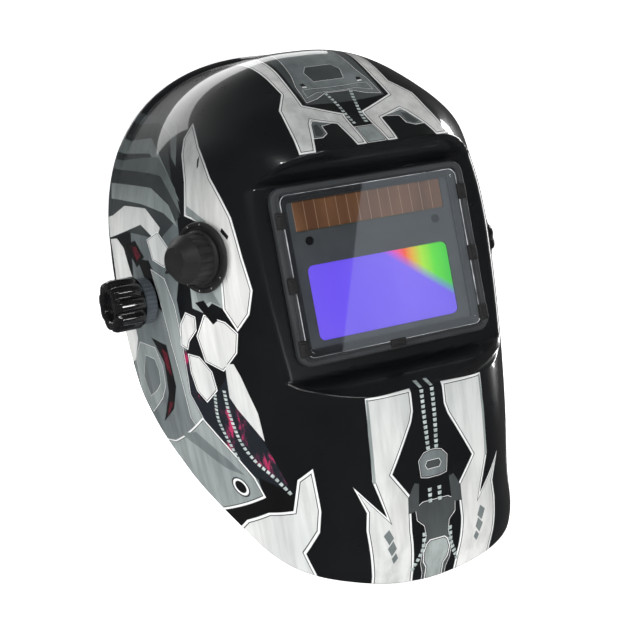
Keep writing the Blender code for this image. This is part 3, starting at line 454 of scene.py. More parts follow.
def finish(name, light, dark, roughness, metallic=0.0, coat=0.0, coat_roughness=0.04, patch=40.0,
           grain=0.0, grain_size=0.0006):
    """General finish: a colour that drifts between two tones, uneven roughness and a fine grain."""
    made, tree = new_material(name)
    drift = noise(tree, patch, 6.0)
    uneven = noise(tree, patch * 6, 3.0)
    shade(tree, base_color=ramp(tree, drift, ((0.32, dark), (0.68, light))),
          roughness=span(tree, uneven, roughness * 0.8, min(roughness * 1.2, 1.0)),
          metallic=metallic, coat_weight=coat, coat_roughness=coat_roughness)
    if grain:
        fine = noise(tree, 1 / grain_size, 2.0)
        shade(tree, normal=bump(tree, fine, grain, 0.0001))
    return made


def panel_finish(name, light, dark, streaks=0.12):
    """Printed panel under clear lacquer: soft airbrushed drift of tone with faint drawn streaks.

    On the shell's sides the print grows darker towards the crown."""
    made, tree = new_material(name)
    soft = ramp(tree, noise(tree, 14.0, 3.0, (1, 1, 0.6)), ((0.30, dark), (0.62, light)))
    lines = noise(tree, 130.0, 4.0, (1, 1, 0.08), 0.6)
    worn = ramp(tree, lines, ((0.38, (1 - 3 * streaks,) * 3), (0.60, (1, 1, 1))))
    drawn = mixed(tree, 0.55, soft, worn, "MULTIPLY")
    height = along(tree, (0, 0, 1), (0, 0, 0.020), 0.100)
    sideways = maths(tree, "ABSOLUTE", along(tree, (1, 0, 0), (0, 0, 0), 0.014))
    past_front = maths(tree, "MAXIMUM", maths(tree, "SUBTRACT", sideways, 4.3), 0.0)
    on_side = maths(tree, "MINIMUM", past_front, 1.0)
    darker = ramp(tree, height, ((0.0, (1, 1, 1)), (0.25, (0.80, 0.80, 0.80)),
                                         (0.5, (0.40, 0.41, 0.41)), (0.8, (0.20, 0.21, 0.22))))
    shade(tree, base_color=mixed(tree, on_side, drawn, darker, "MULTIPLY"),
          roughness=span(tree, lines, 0.30, 0.50), coat_weight=1.0, coat_roughness=0.05)
    return made


def splatter_finish():
    """Dark panel with thrown paint in deep pink."""
    made, tree = new_material("splatter_print")
    flecks = noise(tree, 95.0, 8.0, (1, 1, 0.5), 0.7)
    dark, dull, bright = (0.012, 0.017, 0.024), (0.085, 0.02, 0.055), (0.50, 0.012, 0.10)
    colour = ramp(tree, flecks, ((0.56, dark), (0.60, dull), (0.65, bright), (0.72, bright)))
    shade(tree, base_color=colour, roughness=0.4, coat_weight=1.0, coat_roughness=0.05)
    return made


def clear_finish(name, painted_reflection=0.0):
    """Thin clear plastic: lets everything through and mirrors more at a slant.

    The painted reflection is a faint emitting sheen that ends on a slanting line across the window."""
    made, tree = new_material(name)
    tree.nodes.remove(tree.nodes["Principled BSDF"])
    through = node(tree, "ShaderNodeBsdfTransparent", Color=(0.96, 0.97, 0.98, 1)).outputs["BSDF"]
    if painted_reflection:
        # Painted reflection: an emission shader mixed into the clear plate stands in for a broad reflection.
        reflection_glow = node(tree, "ShaderNodeEmission", Color=(0.80, 0.88, 0.95, 1))
        rise = along(tree, (0.94, 0, -0.33), (-0.017, WINDOW_Y, 0.008), 0.0008)
        share = maths(tree, "MULTIPLY", maths(tree, "MINIMUM", rise, 1.0), painted_reflection)
        through = shader_mix(tree, share, through, reflection_glow.outputs["Emission"])
    gloss = node(tree, "ShaderNodeBsdfGlossy", Roughness=0.02)
    slant = node(tree, "ShaderNodeFresnel", IOR=1.5)
    surface = shader_mix(tree, slant.outputs["Fac"], through, gloss.outputs["BSDF"])
    tree.links.new(surface, tree.nodes["Material Output"].inputs["Surface"])
    return made


def shader_mix(tree, factor, first, second):
    """Mix of two shaders by another node's output."""
    made = node(tree, "ShaderNodeMixShader")
    for socket, source in zip(made.inputs, (factor, first, second)):
        tree.links.new(source, socket)
    return made.outputs["Shader"]


def along(tree, direction, origin, length):
    """0 at the origin, 1 a length further along a direction, in object space."""
    place = node(tree, "ShaderNodeTexCoord")
    shift = node(tree, "ShaderNodeVectorMath", operation="SUBTRACT")
    shift.inputs[1].default_value = origin
    dot = node(tree, "ShaderNodeVectorMath", operation="DOT_PRODUCT")
    dot.inputs[1].default_value = Vector(direction).normalized() / length
    tree.links.new(place.outputs["Object"], shift.inputs[0])
    tree.links.new(shift.outputs["Vector"], dot.inputs[0])
    return dot.outputs["Value"]


def maths(tree, operation, first, second=0.0):
    """Result of a maths node on two values, each a number or another node's output."""
    made = node(tree, "ShaderNodeMath", operation=operation)
    for socket, value in zip(made.inputs, (first, second)):
        feed(tree, socket, value)
    return made.outputs["Value"]


def solar_finish():
    """Copper-brown amorphous cells: upright cells with thin pale dividers."""
    made, tree = new_material("solar_cells")
    low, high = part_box("solar_panel")
    cells = 14
    sweep = along(tree, (1, 0, 0), (low.x, 0, 0), (high.x - low.x) / cells)
    divider = maths(tree, "LESS_THAN", maths(tree, "FRACT", sweep), 0.055)
    tone = ramp(tree, noise(tree, 60.0, 5.0, (1, 1, 0.3)),
                ((0.3, (0.19, 0.075, 0.030)), (0.7, (0.34, 0.155, 0.068))))
    shade(tree, base_color=mixed(tree, divider, tone, (0.52, 0.33, 0.20)),
          roughness=0.35, coat_weight=0.6)
    return made


def filter_finish():
    """Violet coating with a painted glow; a corner's painted rainbow reflection runs through pink, orange and
    yellow to green.
    """
    made, tree = new_material("filter_coating_painted_glow")
    low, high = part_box("lcd_filter")
    width, height = high.x - low.x, high.z - low.z
    sweep = along(tree, (1.0, 0, -0.02), (low.x + width * 0.50, 0, high.z), width * 0.50)
    crease = (low.x + width * 0.74, 0, low.z + height * 0.62)
    fold = along(tree, (0.60, 0, 0.80), crease, width * 0.06)
    violet, blue = (0.235, 0.155, 0.86), (0.155, 0.085, 0.80)
    plain = ramp(tree, noise(tree, 14.0, 2.0, (1, 1, 0.3)), ((0.35, blue), (0.65, violet)))
    stops = ((0.0, (0.42, 0.12, 0.90)), (0.10, (0.95, 0.06, 0.85)), (0.22, (0.98, 0.06, 0.45)),
             (0.36, (0.95, 0.10, 0.03)), (0.47, (0.80, 0.48, 0.02)), (0.58, (0.42, 0.78, 0.02)),
             (0.74, (0.10, 0.72, 0.02)), (1.0, (0.01, 0.55, 0.03)))
    # Painted reflection: a rainbow that shades off from one corner, fixed in the colour.
    painted_rainbow = ramp(tree, sweep, stops)
    shares = node(tree, "ShaderNodeClamp")
    tree.links.new(fold, shares.inputs["Value"])
    colour = mixed(tree, shares.outputs["Result"], plain, painted_rainbow)
    # Painted light: the colour also emits, so the filter glows though it is no lamp.
    shade(tree, base_color=colour, emission_color=colour, emission_strength=0.58,
          roughness=0.22, coat_weight=1.0, coat_roughness=0.02)
    return made


def board_finish():
    """Green solder mask with paler traces."""
    made, tree = new_material("solder_mask")
    place = node(tree, "ShaderNodeTexCoord")
    turn = node(tree, "ShaderNodeMapping", Rotation=(math.pi / 2, 0, 0))
    traces = node(tree, "ShaderNodeTexBrick", Scale=260.0, Color1=(0.012, 0.10, 0.035, 1),
                  Color2=(0.016, 0.13, 0.05, 1), Mortar=(0.05, 0.26, 0.10, 1))
    traces.inputs["Mortar Size"].default_value = 0.06
    tree.links.new(place.outputs["Object"], turn.inputs["Vector"])
    tree.links.new(turn.outputs["Vector"], traces.inputs["Vector"])
    shade(tree, base_color=traces.outputs["Color"], roughness=0.35)
    return made


def cloth_finish(name, light, dark):
    """Plain weave: two crossed sets of threads give the colour and the relief."""
    made, tree = new_material(name)
    thread = 0.0011
    place = node(tree, "ShaderNodeTexCoord")
    heights = []
    for turn in (0.0, math.pi / 2):
        mapping = node(tree, "ShaderNodeMapping", Rotation=(0, turn, 0))
        wave = node(tree, "ShaderNodeTexWave", Scale=0.5 / thread, Distortion=0.6, Detail=1.0)
        tree.links.new(place.outputs["Object"], mapping.inputs["Vector"])
        tree.links.new(mapping.outputs["Vector"], wave.inputs["Vector"])
        heights.append(wave.outputs["Fac"])
    weave = maths(tree, "MULTIPLY", *heights)
    fuzz = noise(tree, 1800.0, 2.0)
    total = maths(tree, "ADD", weave, maths(tree, "MULTIPLY", fuzz, 0.5))
    shade(tree, base_color=ramp(tree, total, ((0.15, dark), (0.85, light))),
          normal=bump(tree, total, 0.6, 0.0004), roughness=0.95, sheen_weight=0.35,
          sheen_roughness=0.5)
    return made


def make_materials():
    """Every look by its short name."""
    return {
        "gloss_black": finish("gloss_black", (0.0065, 0.0075, 0.009), (0.004, 0.0045, 0.0055), 0.30,
                              coat=1.0, coat_roughness=0.025, patch=25),
        "pale": panel_finish("pale_panel_print", (0.86, 0.86, 0.84), (0.60, 0.63, 0.62)),
        "grey": panel_finish("grey_panel_print", (0.42, 0.47, 0.46), (0.22, 0.26, 0.26), 0.16),
        "mid": panel_finish("mid_grey_panel_print", (0.24, 0.275, 0.275), (0.12, 0.145, 0.15), 0.16),
        "dim": panel_finish("dim_panel_print", (0.085, 0.098, 0.10), (0.035, 0.042, 0.045), 0.1),
        "edge": panel_finish("edge_print", (0.93, 0.94, 0.93), (0.80, 0.82, 0.82), 0.03),
        "line": finish("outline_print", (0.03, 0.034, 0.038), (0.018, 0.02, 0.024), 0.35, coat=1.0),
        "ink": finish("black_print", (0.005, 0.005, 0.006), (0.003, 0.003, 0.004), 0.35, coat=1.0),
        "wine": finish("wine_print", (0.16, 0.006, 0.02), (0.03, 0.003, 0.008), 0.35, coat=1.0, patch=160),
        "splatter": splatter_finish(),
        "bead": finish("bead_print", (0.62, 0.70, 0.68), (0.30, 0.36, 0.35), 0.35, coat=1.0, patch=300),
        "inside": finish("moulded_inside", (0.022, 0.023, 0.025), (0.014, 0.015, 0.016), 0.55, grain=0.5,
                         grain_size=0.0010, patch=30),
        "bezel": finish("satin_charcoal", (0.050, 0.054, 0.058), (0.034, 0.037, 0.040), 0.38, grain=0.35,
                        grain_size=0.0005),
        "matte": finish("matte_black", (0.024, 0.023, 0.024), (0.015, 0.0145, 0.015), 0.46, grain=0.6,
                        grain_size=0.0004, patch=120),
        "plastic": finish("moulded_black", (0.022, 0.023, 0.025), (0.013, 0.014, 0.015), 0.44, grain=0.5,
                          grain_size=0.0006, patch=60),
        "knob": finish("polished_black", (0.009, 0.009, 0.010), (0.005, 0.005, 0.006), 0.16, coat=1.0,
                       coat_roughness=0.03, patch=90),
        "housing": finish("cartridge_grey", (0.110, 0.118, 0.124), (0.082, 0.089, 0.094), 0.42, grain=0.3,
                          grain_size=0.0005, patch=50),
        "spacer": finish("spacer_grey", (0.085, 0.102, 0.118), (0.055, 0.068, 0.080), 0.42, grain=0.4,
                         grain_size=0.0005, patch=80),
        "steel": finish("zinc_steel", (0.62, 0.63, 0.65), (0.42, 0.43, 0.45), 0.28, metallic=1.0, grain=0.3,
                        grain_size=0.0003, patch=200),
        "brass": finish("turned_brass", (0.72, 0.52, 0.22), (0.50, 0.34, 0.13), 0.26, metallic=1.0, grain=0.3,
                        grain_size=0.0003, patch=200),
        "jacket": finish("cable_jacket", (0.02, 0.02, 0.021), (0.012, 0.012, 0.013), 0.6, grain=0.4,
                         grain_size=0.0003),
        "sensor": finish("smoked_window", (0.012, 0.010, 0.014), (0.006, 0.005, 0.008), 0.1, coat=1.0),
        "clear": clear_finish("clear_plastic"),
        "cover": clear_finish("cover_plate_painted_reflection", painted_reflection=0.045),
        # Painted highlight: patchy light grey on the cover plate's bead stands in for glints along it.
        "bright": finish("painted_glint_edge", (0.80, 0.82, 0.85), (0.10, 0.105, 0.11), 0.12, coat=1.0, patch=75),
        "solar": solar_finish(),
        "filter": filter_finish(),
        "board": board_finish(),
        "cloth": cloth_finish("sweat_cloth", (0.060, 0.062, 0.068), (0.018, 0.018, 0.021)),
        "stitch": finish("stitching", (0.16, 0.16, 0.17), (0.10, 0.10, 0.11), 0.8, patch=400),
        "marking": finish("pale_marking", (0.66, 0.66, 0.64), (0.50, 0.50, 0.49), 0.5, patch=300),
    }


# ---------------------------------------------------------------- mesh helpers


def add_object(name, verts, faces, looks, indices=None, smooth=40.0, body=None):
    """Mesh object, smooth below an angle in degrees; indices say which look each face has."""
    mesh = bpy.data.meshes.new(name)
    mesh.from_pydata([tuple(v) for v in verts], [], [tuple(f) for f in faces])
    made = bpy.data.objects.new(name, mesh)
    bpy.context.scene.collection.objects.link(made)
    for look in looks if isinstance(looks, list) else [looks]:
        mesh.materials.append(look)
    if indices is not None:
        mesh.polygons.foreach_set("material_index", indices)
    if smooth:
        mesh.shade_smooth()
        mesh.set_sharp_from_angle(angle=math.radians(smooth))
    if body:
        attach(made, body)
    return made


def signed_volume(verts, faces):
    """Six times the volume, above zero when the faces look outwards."""
    total = 0.0
    for face in faces:
        origin = verts[face[0]]
        for left, right in zip(face[1:-1], face[2:]):
            total += origin.dot(verts[left].cross(verts[right]))
    return total


def loft(loops, ring=False):
    """Closed body through loops of equal length: capped at both ends, or joined end to end."""
    count = len(loops[0])
    verts = [Vector(point) for loop in loops for point in loop]
    faces = []
    for row in range(len(loops) if ring else len(loops) - 1):
        low, high = row * count, ((row + 1) % len(loops)) * count
        for step in range(count):
            after = (step + 1) % count
            faces.append((low + step, low + after, high + after, high + step))
    if not ring:
        faces.append(tuple(reversed(range(count))))
        faces.append(tuple(range(len(verts) - count, len(verts))))
    if signed_volume(verts, faces) < 0:
        faces = [tuple(reversed(face)) for face in faces]
    return verts, faces


def joined(bodies):
    """One body of several (verts, faces) bodies."""
    verts, faces = [], []
    for body_verts, body_faces in bodies:
        start = len(verts)
        verts.extend(body_verts)
        faces.extend(tuple(index + start for index in face) for face in body_faces)
    return verts, faces


def two_tone(first, second):
    """Two bodies as one, with each face's index: 0 for the first body, 1 for the second."""
    verts, faces = joined([first, second])
    return verts, faces, [0] * len(first[1]) + [1] * len(second[1])


def placed(body, matrix):
    """A body moved by a matrix."""
    return [matrix @ vert for vert in body[0]], body[1]


def rounded(width, height, radius, depth, centre=(0.0, 0.0), steps=8):
    """Rounded rectangle in the window's own plane, at a depth outwards."""
    loop = []
    for sign_x, sign_z, start in ((1, 1, 0), (-1, 1, 90), (-1, -1, 180), (1, -1, 270)):
        for step in range(steps + 1):
            angle = math.radians(start + 90 * step / steps)
            x = sign_x * (width / 2 - radius) + radius * math.cos(angle)
            z = sign_z * (height / 2 - radius) + radius * math.sin(angle)
            loop.append(Vector((centre[0] + x, -depth, centre[1] + z)))
    return loop


def soft_profile(points, radius, steps=4):
    """Profile of (value, value) pairs whose corners are rounded by a radius where there is room."""
    soft = []
    count = len(points)
    for index, point in enumerate(points):
        here = Vector(point[:2])
        before, after = Vector(points[index - 1][:2]), Vector(points[(index + 1) % count][:2])
        back, ahead = before - here, after - here
        cut = min(radius, back.length * 0.45, ahead.length * 0.45)
        start, end = here + back.normalized() * cut, here + ahead.normalized() * cut
        for step in range(steps + 1):
            t = step / steps
            soft.append((start * (1 - t) ** 2 + here * 2 * t * (1 - t) + end * t * t, point[2:]))
    return soft


def window_ring(profile, radius):
    """Frame around the window: the profile's rows are (width, depth, how much lower than wide)."""
    loops = []
    rows = [(width / 2, depth, margin) for width, depth, margin in profile]
    for point, (margin,) in soft_profile(rows, 0.0003):
        corner = max(radius + point.x - rows[0][0], 0.0015)
        loops.append(rounded(2 * point.x, 2 * point.x - margin, corner, point.y, steps=10))
    return loft(loops, ring=True)


def revolve(profile, segments, rounding=0.0, closed=False, lobes=0, depth=0.0, shape=1.0):
    """Turned body about local Z from (radius, height) rows; rows with a third value take the lobes."""
    rows = [(Vector(row[:2]), row[2:]) for row in profile]
    if rounding:
        soft = soft_profile(profile, rounding, 3)
        rows = soft if closed else rows[:1] + soft[4:-4] + rows[-1:]
    loops = []
    for point, extra in rows:
        loop = []
        for step in range(segments):
            angle = 2 * math.pi * step / segments
            dip = 0.0
            if extra and lobes:
                dip = depth * extra[0] * (0.5 - 0.5 * math.cos(lobes * angle)) ** shape
            radius = point.x - dip
            loop.append(Vector((radius * math.cos(angle), radius * math.sin(angle), point.y)))
        loops.append(loop)
    return loft(loops, ring=closed)


def box_body(low, high, rounding, steps=3):
    """Box with rounded edges, lofted along its depth."""
    (x0, y0, z0), (x1, y1, z1) = low, high
    width, height = x1 - x0, z1 - z0
    r = min(rounding, (y1 - y0) * 0.45, width * 0.45, height * 0.45)
    loops = []
    for step in range(2 * steps + 2):
        if step <= steps:
            angle = math.pi / 2 * step / steps
            y, inset = y0 + r * (1 - math.cos(angle)), r * (1 - math.sin(angle))
        else:
            angle = math.pi / 2 * (step - steps - 1) / steps
            y, inset = y1 - r + r * math.sin(angle), r * (1 - math.cos(angle))
        corner = max(r - inset * 0.5, r * 0.3)
        loop = rounded(width - 2 * inset, height - 2 * inset, corner, -y, ((x0 + x1) / 2, (z0 + z1) / 2), 3)
        loops.append(loop)
    return loft(loops)


def smooth_path(points, steps):
    """Smooth curve through the points, with a number of steps between each two."""
    points = [Vector(point) for point in points]
    ends = [2 * points[0] - points[1]] + points + [2 * points[-1] - points[-2]]
    path = []
    for a, b, c, d in zip(ends, ends[1:], ends[2:], ends[3:]):
        for step in range(steps):
            t = step / steps
            path.append(0.5 * ((2 * b) + (c - a) * t + (2 * a - 5 * b + 4 * c - d) * t ** 2
                               + (3 * b - a - 3 * c + d) * t ** 3))
    path.append(points[-1])
    return path


def strap(path, widths, section, up):
    """Strip along a path. Section rows are (share of the half width, offset from the middle)."""
    loops = []
    for index, point in enumerate(path):
        before, after = path[max(index - 1, 0)], path[min(index + 1, len(path) - 1)]
        face = up.cross((after - before).normalized()).normalized()
        half = up * widths[index] / 2
        loops.append([point + half * share + face * offset for share, offset in section])
    return loft(loops)


def flat_section(thickness):
    """Cross section of a moulded strap with rounded edges."""
    half = thickness / 2
    edge = [(1.0, 0.0), (0.985, half * 0.8), (0.95, half), (0.86, half), (0.80, half)]
    top = [(-share, offset) for share, offset in edge] + edge[::-1]
    return top + [(share, -offset) for share, offset in reversed(top[1:-1])]


def end_taper(path, width, both=True):
    """Widths along a path whose last end, or both ends, are half round."""
    lengths = [0.0]
    for left, right in zip(path, path[1:]):
        lengths.append(lengths[-1] + (right - left).length)
    radius = width / 2
    if not both:
        return [end_width(length, radius) for length in lengths]
    return [min(end_width(length, radius), end_width(lengths[-1] - length, radius)) for length in lengths]


def end_width(away, radius):
    """Width of a half-round end at a distance from its tip."""
    if away >= radius:
        return 2 * radius
    return 2 * math.sqrt(max(radius ** 2 - (radius - away) ** 2, (radius * 0.2) ** 2))


def apply_modifiers(target, angle):
    """Put a mesh with the modifiers applied in place of the object's own."""
    bpy.context.view_layer.update()
    evaluated = target.evaluated_get(bpy.context.evaluated_depsgraph_get())
    old, target.data = target.data, bpy.data.meshes.new_from_object(evaluated)
    target.modifiers.clear()
    bpy.data.meshes.remove(old)
    target.data.shade_smooth()
    target.data.set_sharp_from_angle(angle=math.radians(angle))


def drill(target, cutter):
    """Boolean cut that is applied at once."""
    mesh = bpy.data.meshes.new("cutter")
    mesh.from_pydata([tuple(v) for v in cutter[0]], [], cutter[1])
    tool = bpy.data.objects.new("cutter", mesh)
    bpy.context.scene.collection.objects.link(tool)
    modifier = target.modifiers.new("cut", "BOOLEAN")
    modifier.operation = "DIFFERENCE"
    modifier.solver = "EXACT"
    modifier.object = tool
    apply_modifiers(target, 40)
    bpy.data.objects.remove(tool)


# ---------------------------------------------------------------- printed panels

# Outlines in millimetres: side panels (y, z) on both sides, front panels (x, z), crown panels (x, y).
# Each is (look, border, outline); a bordered panel gets a bright edge and a fine dark line inside it.
SIDE_PANELS = (
    ("mid", 0, ((20, 104), (-9, 104), (-33, 101), (-55, 76), (-78, 40), (-79, 23), (-69, -5), (-67, -52),
                (-79, -81), (-96, -102), (-103, -109), (-104, -122), (-77, -129), (-40, -129), (20, -60))),
    ("splatter", 0, ((-62, -31), (-69, -35), (-70, -59), (-77, -66), (-88, -60), (-98, -50), (-104, -72),
                     (-113, -87), (-122, -118), (-105, -112), (-85, -96), (-71, -78), (-61, -55))),
    ("dim", 0, ((20, 104), (-9, 104), (-30, 102), (-61, 80), (-72, 60), (-80, 42), (-60, 30), (20, 40))),
    ("mid", 0, ((5, 104), (-33, 102), (-61, 93), (-73, 70), (-66, 76), (-58, 88), (-34, 97), (5, 99))),
    ("grey", 0, ((8, 90), (-33, 89), (-64, 69), (-80, 50), (-60, 66), (-39, 80), (8, 83))),
    ("mid", 0, ((8, 79), (-52, 77), (-75, 58), (-81, 43), (-59, 66), (8, 74))),
    ("grey", 0, ((8, 66), (-50, 60), (-70, 49), (-78, 36), (-65, 45), (-36, 52), (8, 57))),
    ("pale", 0, ((12, 46), (-11, 52), (-44, 49), (-61, 37), (-56, 30), (-37, 40), (12, 34))),
    ("pale", 0, ((12, 33), (2, 33), (-8, 27), (-14, 14), (-22, 0), (-8, -6), (12, -6))),
    ("ink", 0, ((-11, 29), (-27, 31), (-39, 21), (-26, 15))),
    ("wine", 0, ((-20, 28), (-28, 27), (-34, 22), (-27, 19))),
    ("ink", 0, ((-28, 20), (-45, 19), (-53, 5), (-54, -13), (-42, -4), (-36, 8))),
    ("pale", 0.5, ((-45, 31), (-58, 35), (-69, 24), (-62, 14), (-50, 19))),
    ("grey", 0.4, ((-46, 14), (-60, 8), (-66, -8), (-64, -60), (-76, -86), (-84, -98), (-72, -94),
                   (-58, -74), (-55, -30))),
    ("ink", 0, ((-30, -27), (-49, -31), (-50, -56), (-40, -70), (-20, -79), (-38, -60), (-42, -42))),
    ("pale", 0, ((20, -8), (-6, -8), (-8, -28), (4, -42), (20, -46))),
    ("wine", 0, ((-42, -33), (-48, -36), (-48, -50), (-44, -46))),
    ("wine", 0, ((-42, -66), (-36, -70), (-28, -75), (-36, -66))),
    ("grey", 0.5, ((-10, -30), (-32, -33), (-38, -44), (-36, -56), (-27, -64), (-6, -74), (4, -60),
                   (2, -40))),
    ("mid", 0.3, ((-14, -38), (-28, -40), (-31, -47), (-29, -55), (-20, -60), (-8, -64), (-4, -52))),
    ("grey", 0, ((-82, 30), (-104, 28), (-108, 14), (-106, -12), (-98, -8), (-90, -13), (-82, -10))),
    ("mid", 0, ((-86, 4), (-100, -2), (-104, -10), (-97, -7), (-88, -10))),
    ("pale", 0.9, ((-75, 93), (-89, 79), (-103, 61), (-117, 38), (-122, 15), (-125, -3), (-121, -16),
                   (-112, -25), (-105, -12), (-107, 14), (-104, 28), (-96, 37), (-84, 42), (-83, 60),
                   (-76, 76), (-73, 85))),
    ("grey", 0, ((-85, 48), (-100, 38), (-110, 20), (-111, 2), (-109, 14), (-105, 28), (-97, 36), (-86, 43))),
    ("ink", 0, ((-111, 33), (-115, 28), (-114, 26), (-110, 31))),
    ("ink", 0, ((-92, 74), (-93, 68), (-92, 67), (-91, 72))),
    ("pale", 0.6, ((-90, -14), (-105, -19), (-112, -26), (-109, -37), (-97, -47), (-84, -41), (-81, -26))),
    ("ink", 0, ((-85, -7), (-92, -6), (-100, -18), (-96, -20))),
    ("pale", 0.6, ((-75, -12), (-83, -15), (-82, -23), (-74, -29), (-71, -34), (-65, -31), (-68, -19))),
    ("pale", 0.6, ((-70, -36), (-80, -38), (-88, -47), (-89, -58), (-78, -65), (-71, -58), (-69, -47))),
    ("pale", 0, ((-99, -43), (-105, -43), (-108, -50), (-111, -61), (-114, -72), (-114, -88), (-101, -69),
                 (-97, -62), (-98, -52))),
    ("ink", 0, ((-58, -130), (-79, -128), (-105, -121), (-104, -109), (-122, -118), (-127, -128),
                (-104, -131), (-86, -135), (-60, -140))),
    ("grey", 0.9, ((20, -90), (-30, -90), (-61, -79), (-70, -74), (-90, -95), (-101, -109), (-105, -121),
                   (-79, -128), (-60, -131), (-20, -130))),
    ("mid", 0, ((-40, -84), (-60, -83), (-84, -99), (-94, -108), (-80, -104), (-58, -92))),
    ("pale", 0.9, ((-136, -105), (-127, -111), (-120, -129), (-104, -130), (-86, -135), (-60, -150),
                   (-90, -185), (-123, -170), (-122, -154), (-131, -142), (-134, -130))),
)
SIDE_RIVET = (-88.0, -115.0)
SIDE_RIVET_RADII = (("line", 4.6), ("edge", 3.9), ("ink", 2.8))
SIDE_HOSES = (((-86, -60), (-84, -72), (-85, -79), (-89, -90), (-93, -100)),
              ((-94, -58), (-94, -71), (-97, -87), (-104, -99), (-114, -109), (-122, -120)))
FINE_LINE = 0.35
FRONT_PANELS = (
    ("pale", 0.9, ((37.8, -69.8), (38, -90), (38, -117), (31, -139), (48, -118), (42, -134), (43, -144),
                   (40, -172), (39, -200), (13, -200), (14.5, -172), (16.5, -150), (15.8, -130),
                   (26.5, -115), (12, -88), (10.2, -82), (10.2, -69.8))),
    ("mid", 0, ((30.5, -146), (34, -149), (31, -155), (28, -151.5))),
    ("mid", 0, ((28.5, -153), (32, -157), (29.5, -162), (26.5, -158))),
    ("mid", 0, ((27, -160.5), (29.5, -163.5), (28, -167), (25.5, -164))),
    ("grey", 0, ((37.4, -70.6), (38.2, -90), (37.8, -118), (36.2, -118), (36.4, -90), (36.2, -70.6))),
    ("dim", 0, ((10, -124), (13, -123), (17, -130), (18, -140), (11, -139))),
)
CENTRE_PANELS = (
    ("mid", 0.2, ((1.2, -106), (6.0, -107), (9.6, -111), (8.6, -121), (4, -122), (1.2, -122))),
    ("dim", 0.2, ((1.2, -112), (4.0, -112), (5.4, -114.5), (4.0, -117), (1.2, -117))),
    ("dim", 0.2, ((8.5, -135), (13.4, -138), (12.8, -145), (8.5, -149), (7.5, -155), (10, -163), (10, -172),
                  (8, -178), (8, -200))),
    ("dim", 0, ((6, -140.5), (8.8, -142), (9.4, -146), (6, -149))),
    ("grey", 0.4, ((5, -158), (7.2, -160), (9, -165), (8.5, -171), (6, -175), (6, -200))),
)
CENTRE_HOSES = (((3.4, -68.5), (3.4, -86), (2.6, -108)), ((3.2, -128), (3.2, -132), (3.2, -137)),
                ((8.5, -153), (9.5, -163), (14, -172), (17, -177)),
                ((8.2, 98), (6.5, 93), (4.6, 84), (3.6, 77)))
CROWN_PLATES = (
    ("pale", 0.9, ((47.8, 66), (39, 66), (36, 73), (31.1, 81.8), (29, 83.8), (14.5, 80), (13, 66.8),
                   (6.8, 66.8), (5.9, 85.3), (28.2, 92.9), (27.6, 104), (27.2, 114)),
     ((27, -70), (26, -52), (25.5, -20), (37, -20), (37, -52), (36, -70)),
     ((35.6, 112), (35.2, 100.9), (43.7, 91.8))),
    ("ink", 0, ((16.5, 103.4), (19.5, 103.6), (20, 105.4), (17.4, 105.8)), (), ()),
    ("edge", 0, ((16.6, 103), (19.6, 103.1), (19.4, 103.9), (16.8, 103.8)), (), ()),
    ("mid", 0.4, ((36, 73.4), (31.3, 81.6), (29, 83.4), (16, 80.8), (25, 79.7), (25.5, 75.2), (30, 73.2)),
     (), ()),
    ("dim", 0, ((33.4, 75), (30.4, 80.6), (27.4, 81.4), (27, 76), (30, 74.4)), (), ()),
)
CROWN_CENTRE = (
    ("dim", 0, ((25.5, 93), (26, 104), (25.4, 114)), ((25, -70), (24, -52), (23.5, -20)), ()),
    ("mid", 0.3, ((8, 98.5), (16, 95.5), (24.5, 94), (23.6, 104), (21, 111)), ((18, -70), (16, -50)), ()),
    ("dim", 0.2, ((3.5, 106), (10, 106), (12, 112), (8.5, 115.5), (3, 115.5)), (), ()),
    ("mid", 0.2, ((12.6, 99.4), (21.6, 97), (21, 101.8), (14, 102)), (), ()),
    ("grey", 0.3, ((6.0, 67), (6.0, 77)), (), ()),
)


def densified(chart):
    """Chart outline with no step longer than the mesh's own."""
    dense = []
    for left, right in zip(chart, np.roll(chart, -1, axis=0)):
        count = max(1, math.ceil(np.linalg.norm(right - left) / EDGE_STEP))
        dense.extend(left + (right - left) * step / count for step in range(count))
    return np.array(dense)


def signed_area(chart):
    after = np.roll(chart, -1, axis=0)
    return 0.5 * np.sum(chart[:, 0] * after[:, 1] - chart[:, 1] * after[:, 0])


def inset(chart, distance):
    """Outline moved inwards by a distance in the chart."""
    direction = 1 if signed_area(chart) > 0 else -1
    result = []
    for index, here in enumerate(chart):
        before, after = chart[index - 1], chart[(index + 1) % len(chart)]
        left = (here - before) / max(np.linalg.norm(here - before), 1e-9)
        right = (after - here) / max(np.linalg.norm(after - here), 1e-9)
        normal = np.array((-left[1] - right[1], left[0] + right[0])) * direction
        size = np.linalg.norm(normal)
        normal = normal / size if size > TINY else np.array((-left[1], left[0])) * direction
        cosine = max(np.dot(normal, np.array((-left[1], left[0])) * direction), 0.35)
        result.append(here + normal * distance / cosine)
    return np.array(result)


def disc(centre, radius, count=28):
    """Round outline in the chart, its radius in millimetres."""
    turns = np.arange(count) * 2 * np.pi / count
    return centre + radius * MILLIMETRE * np.stack([np.cos(turns), np.sin(turns)], -1)


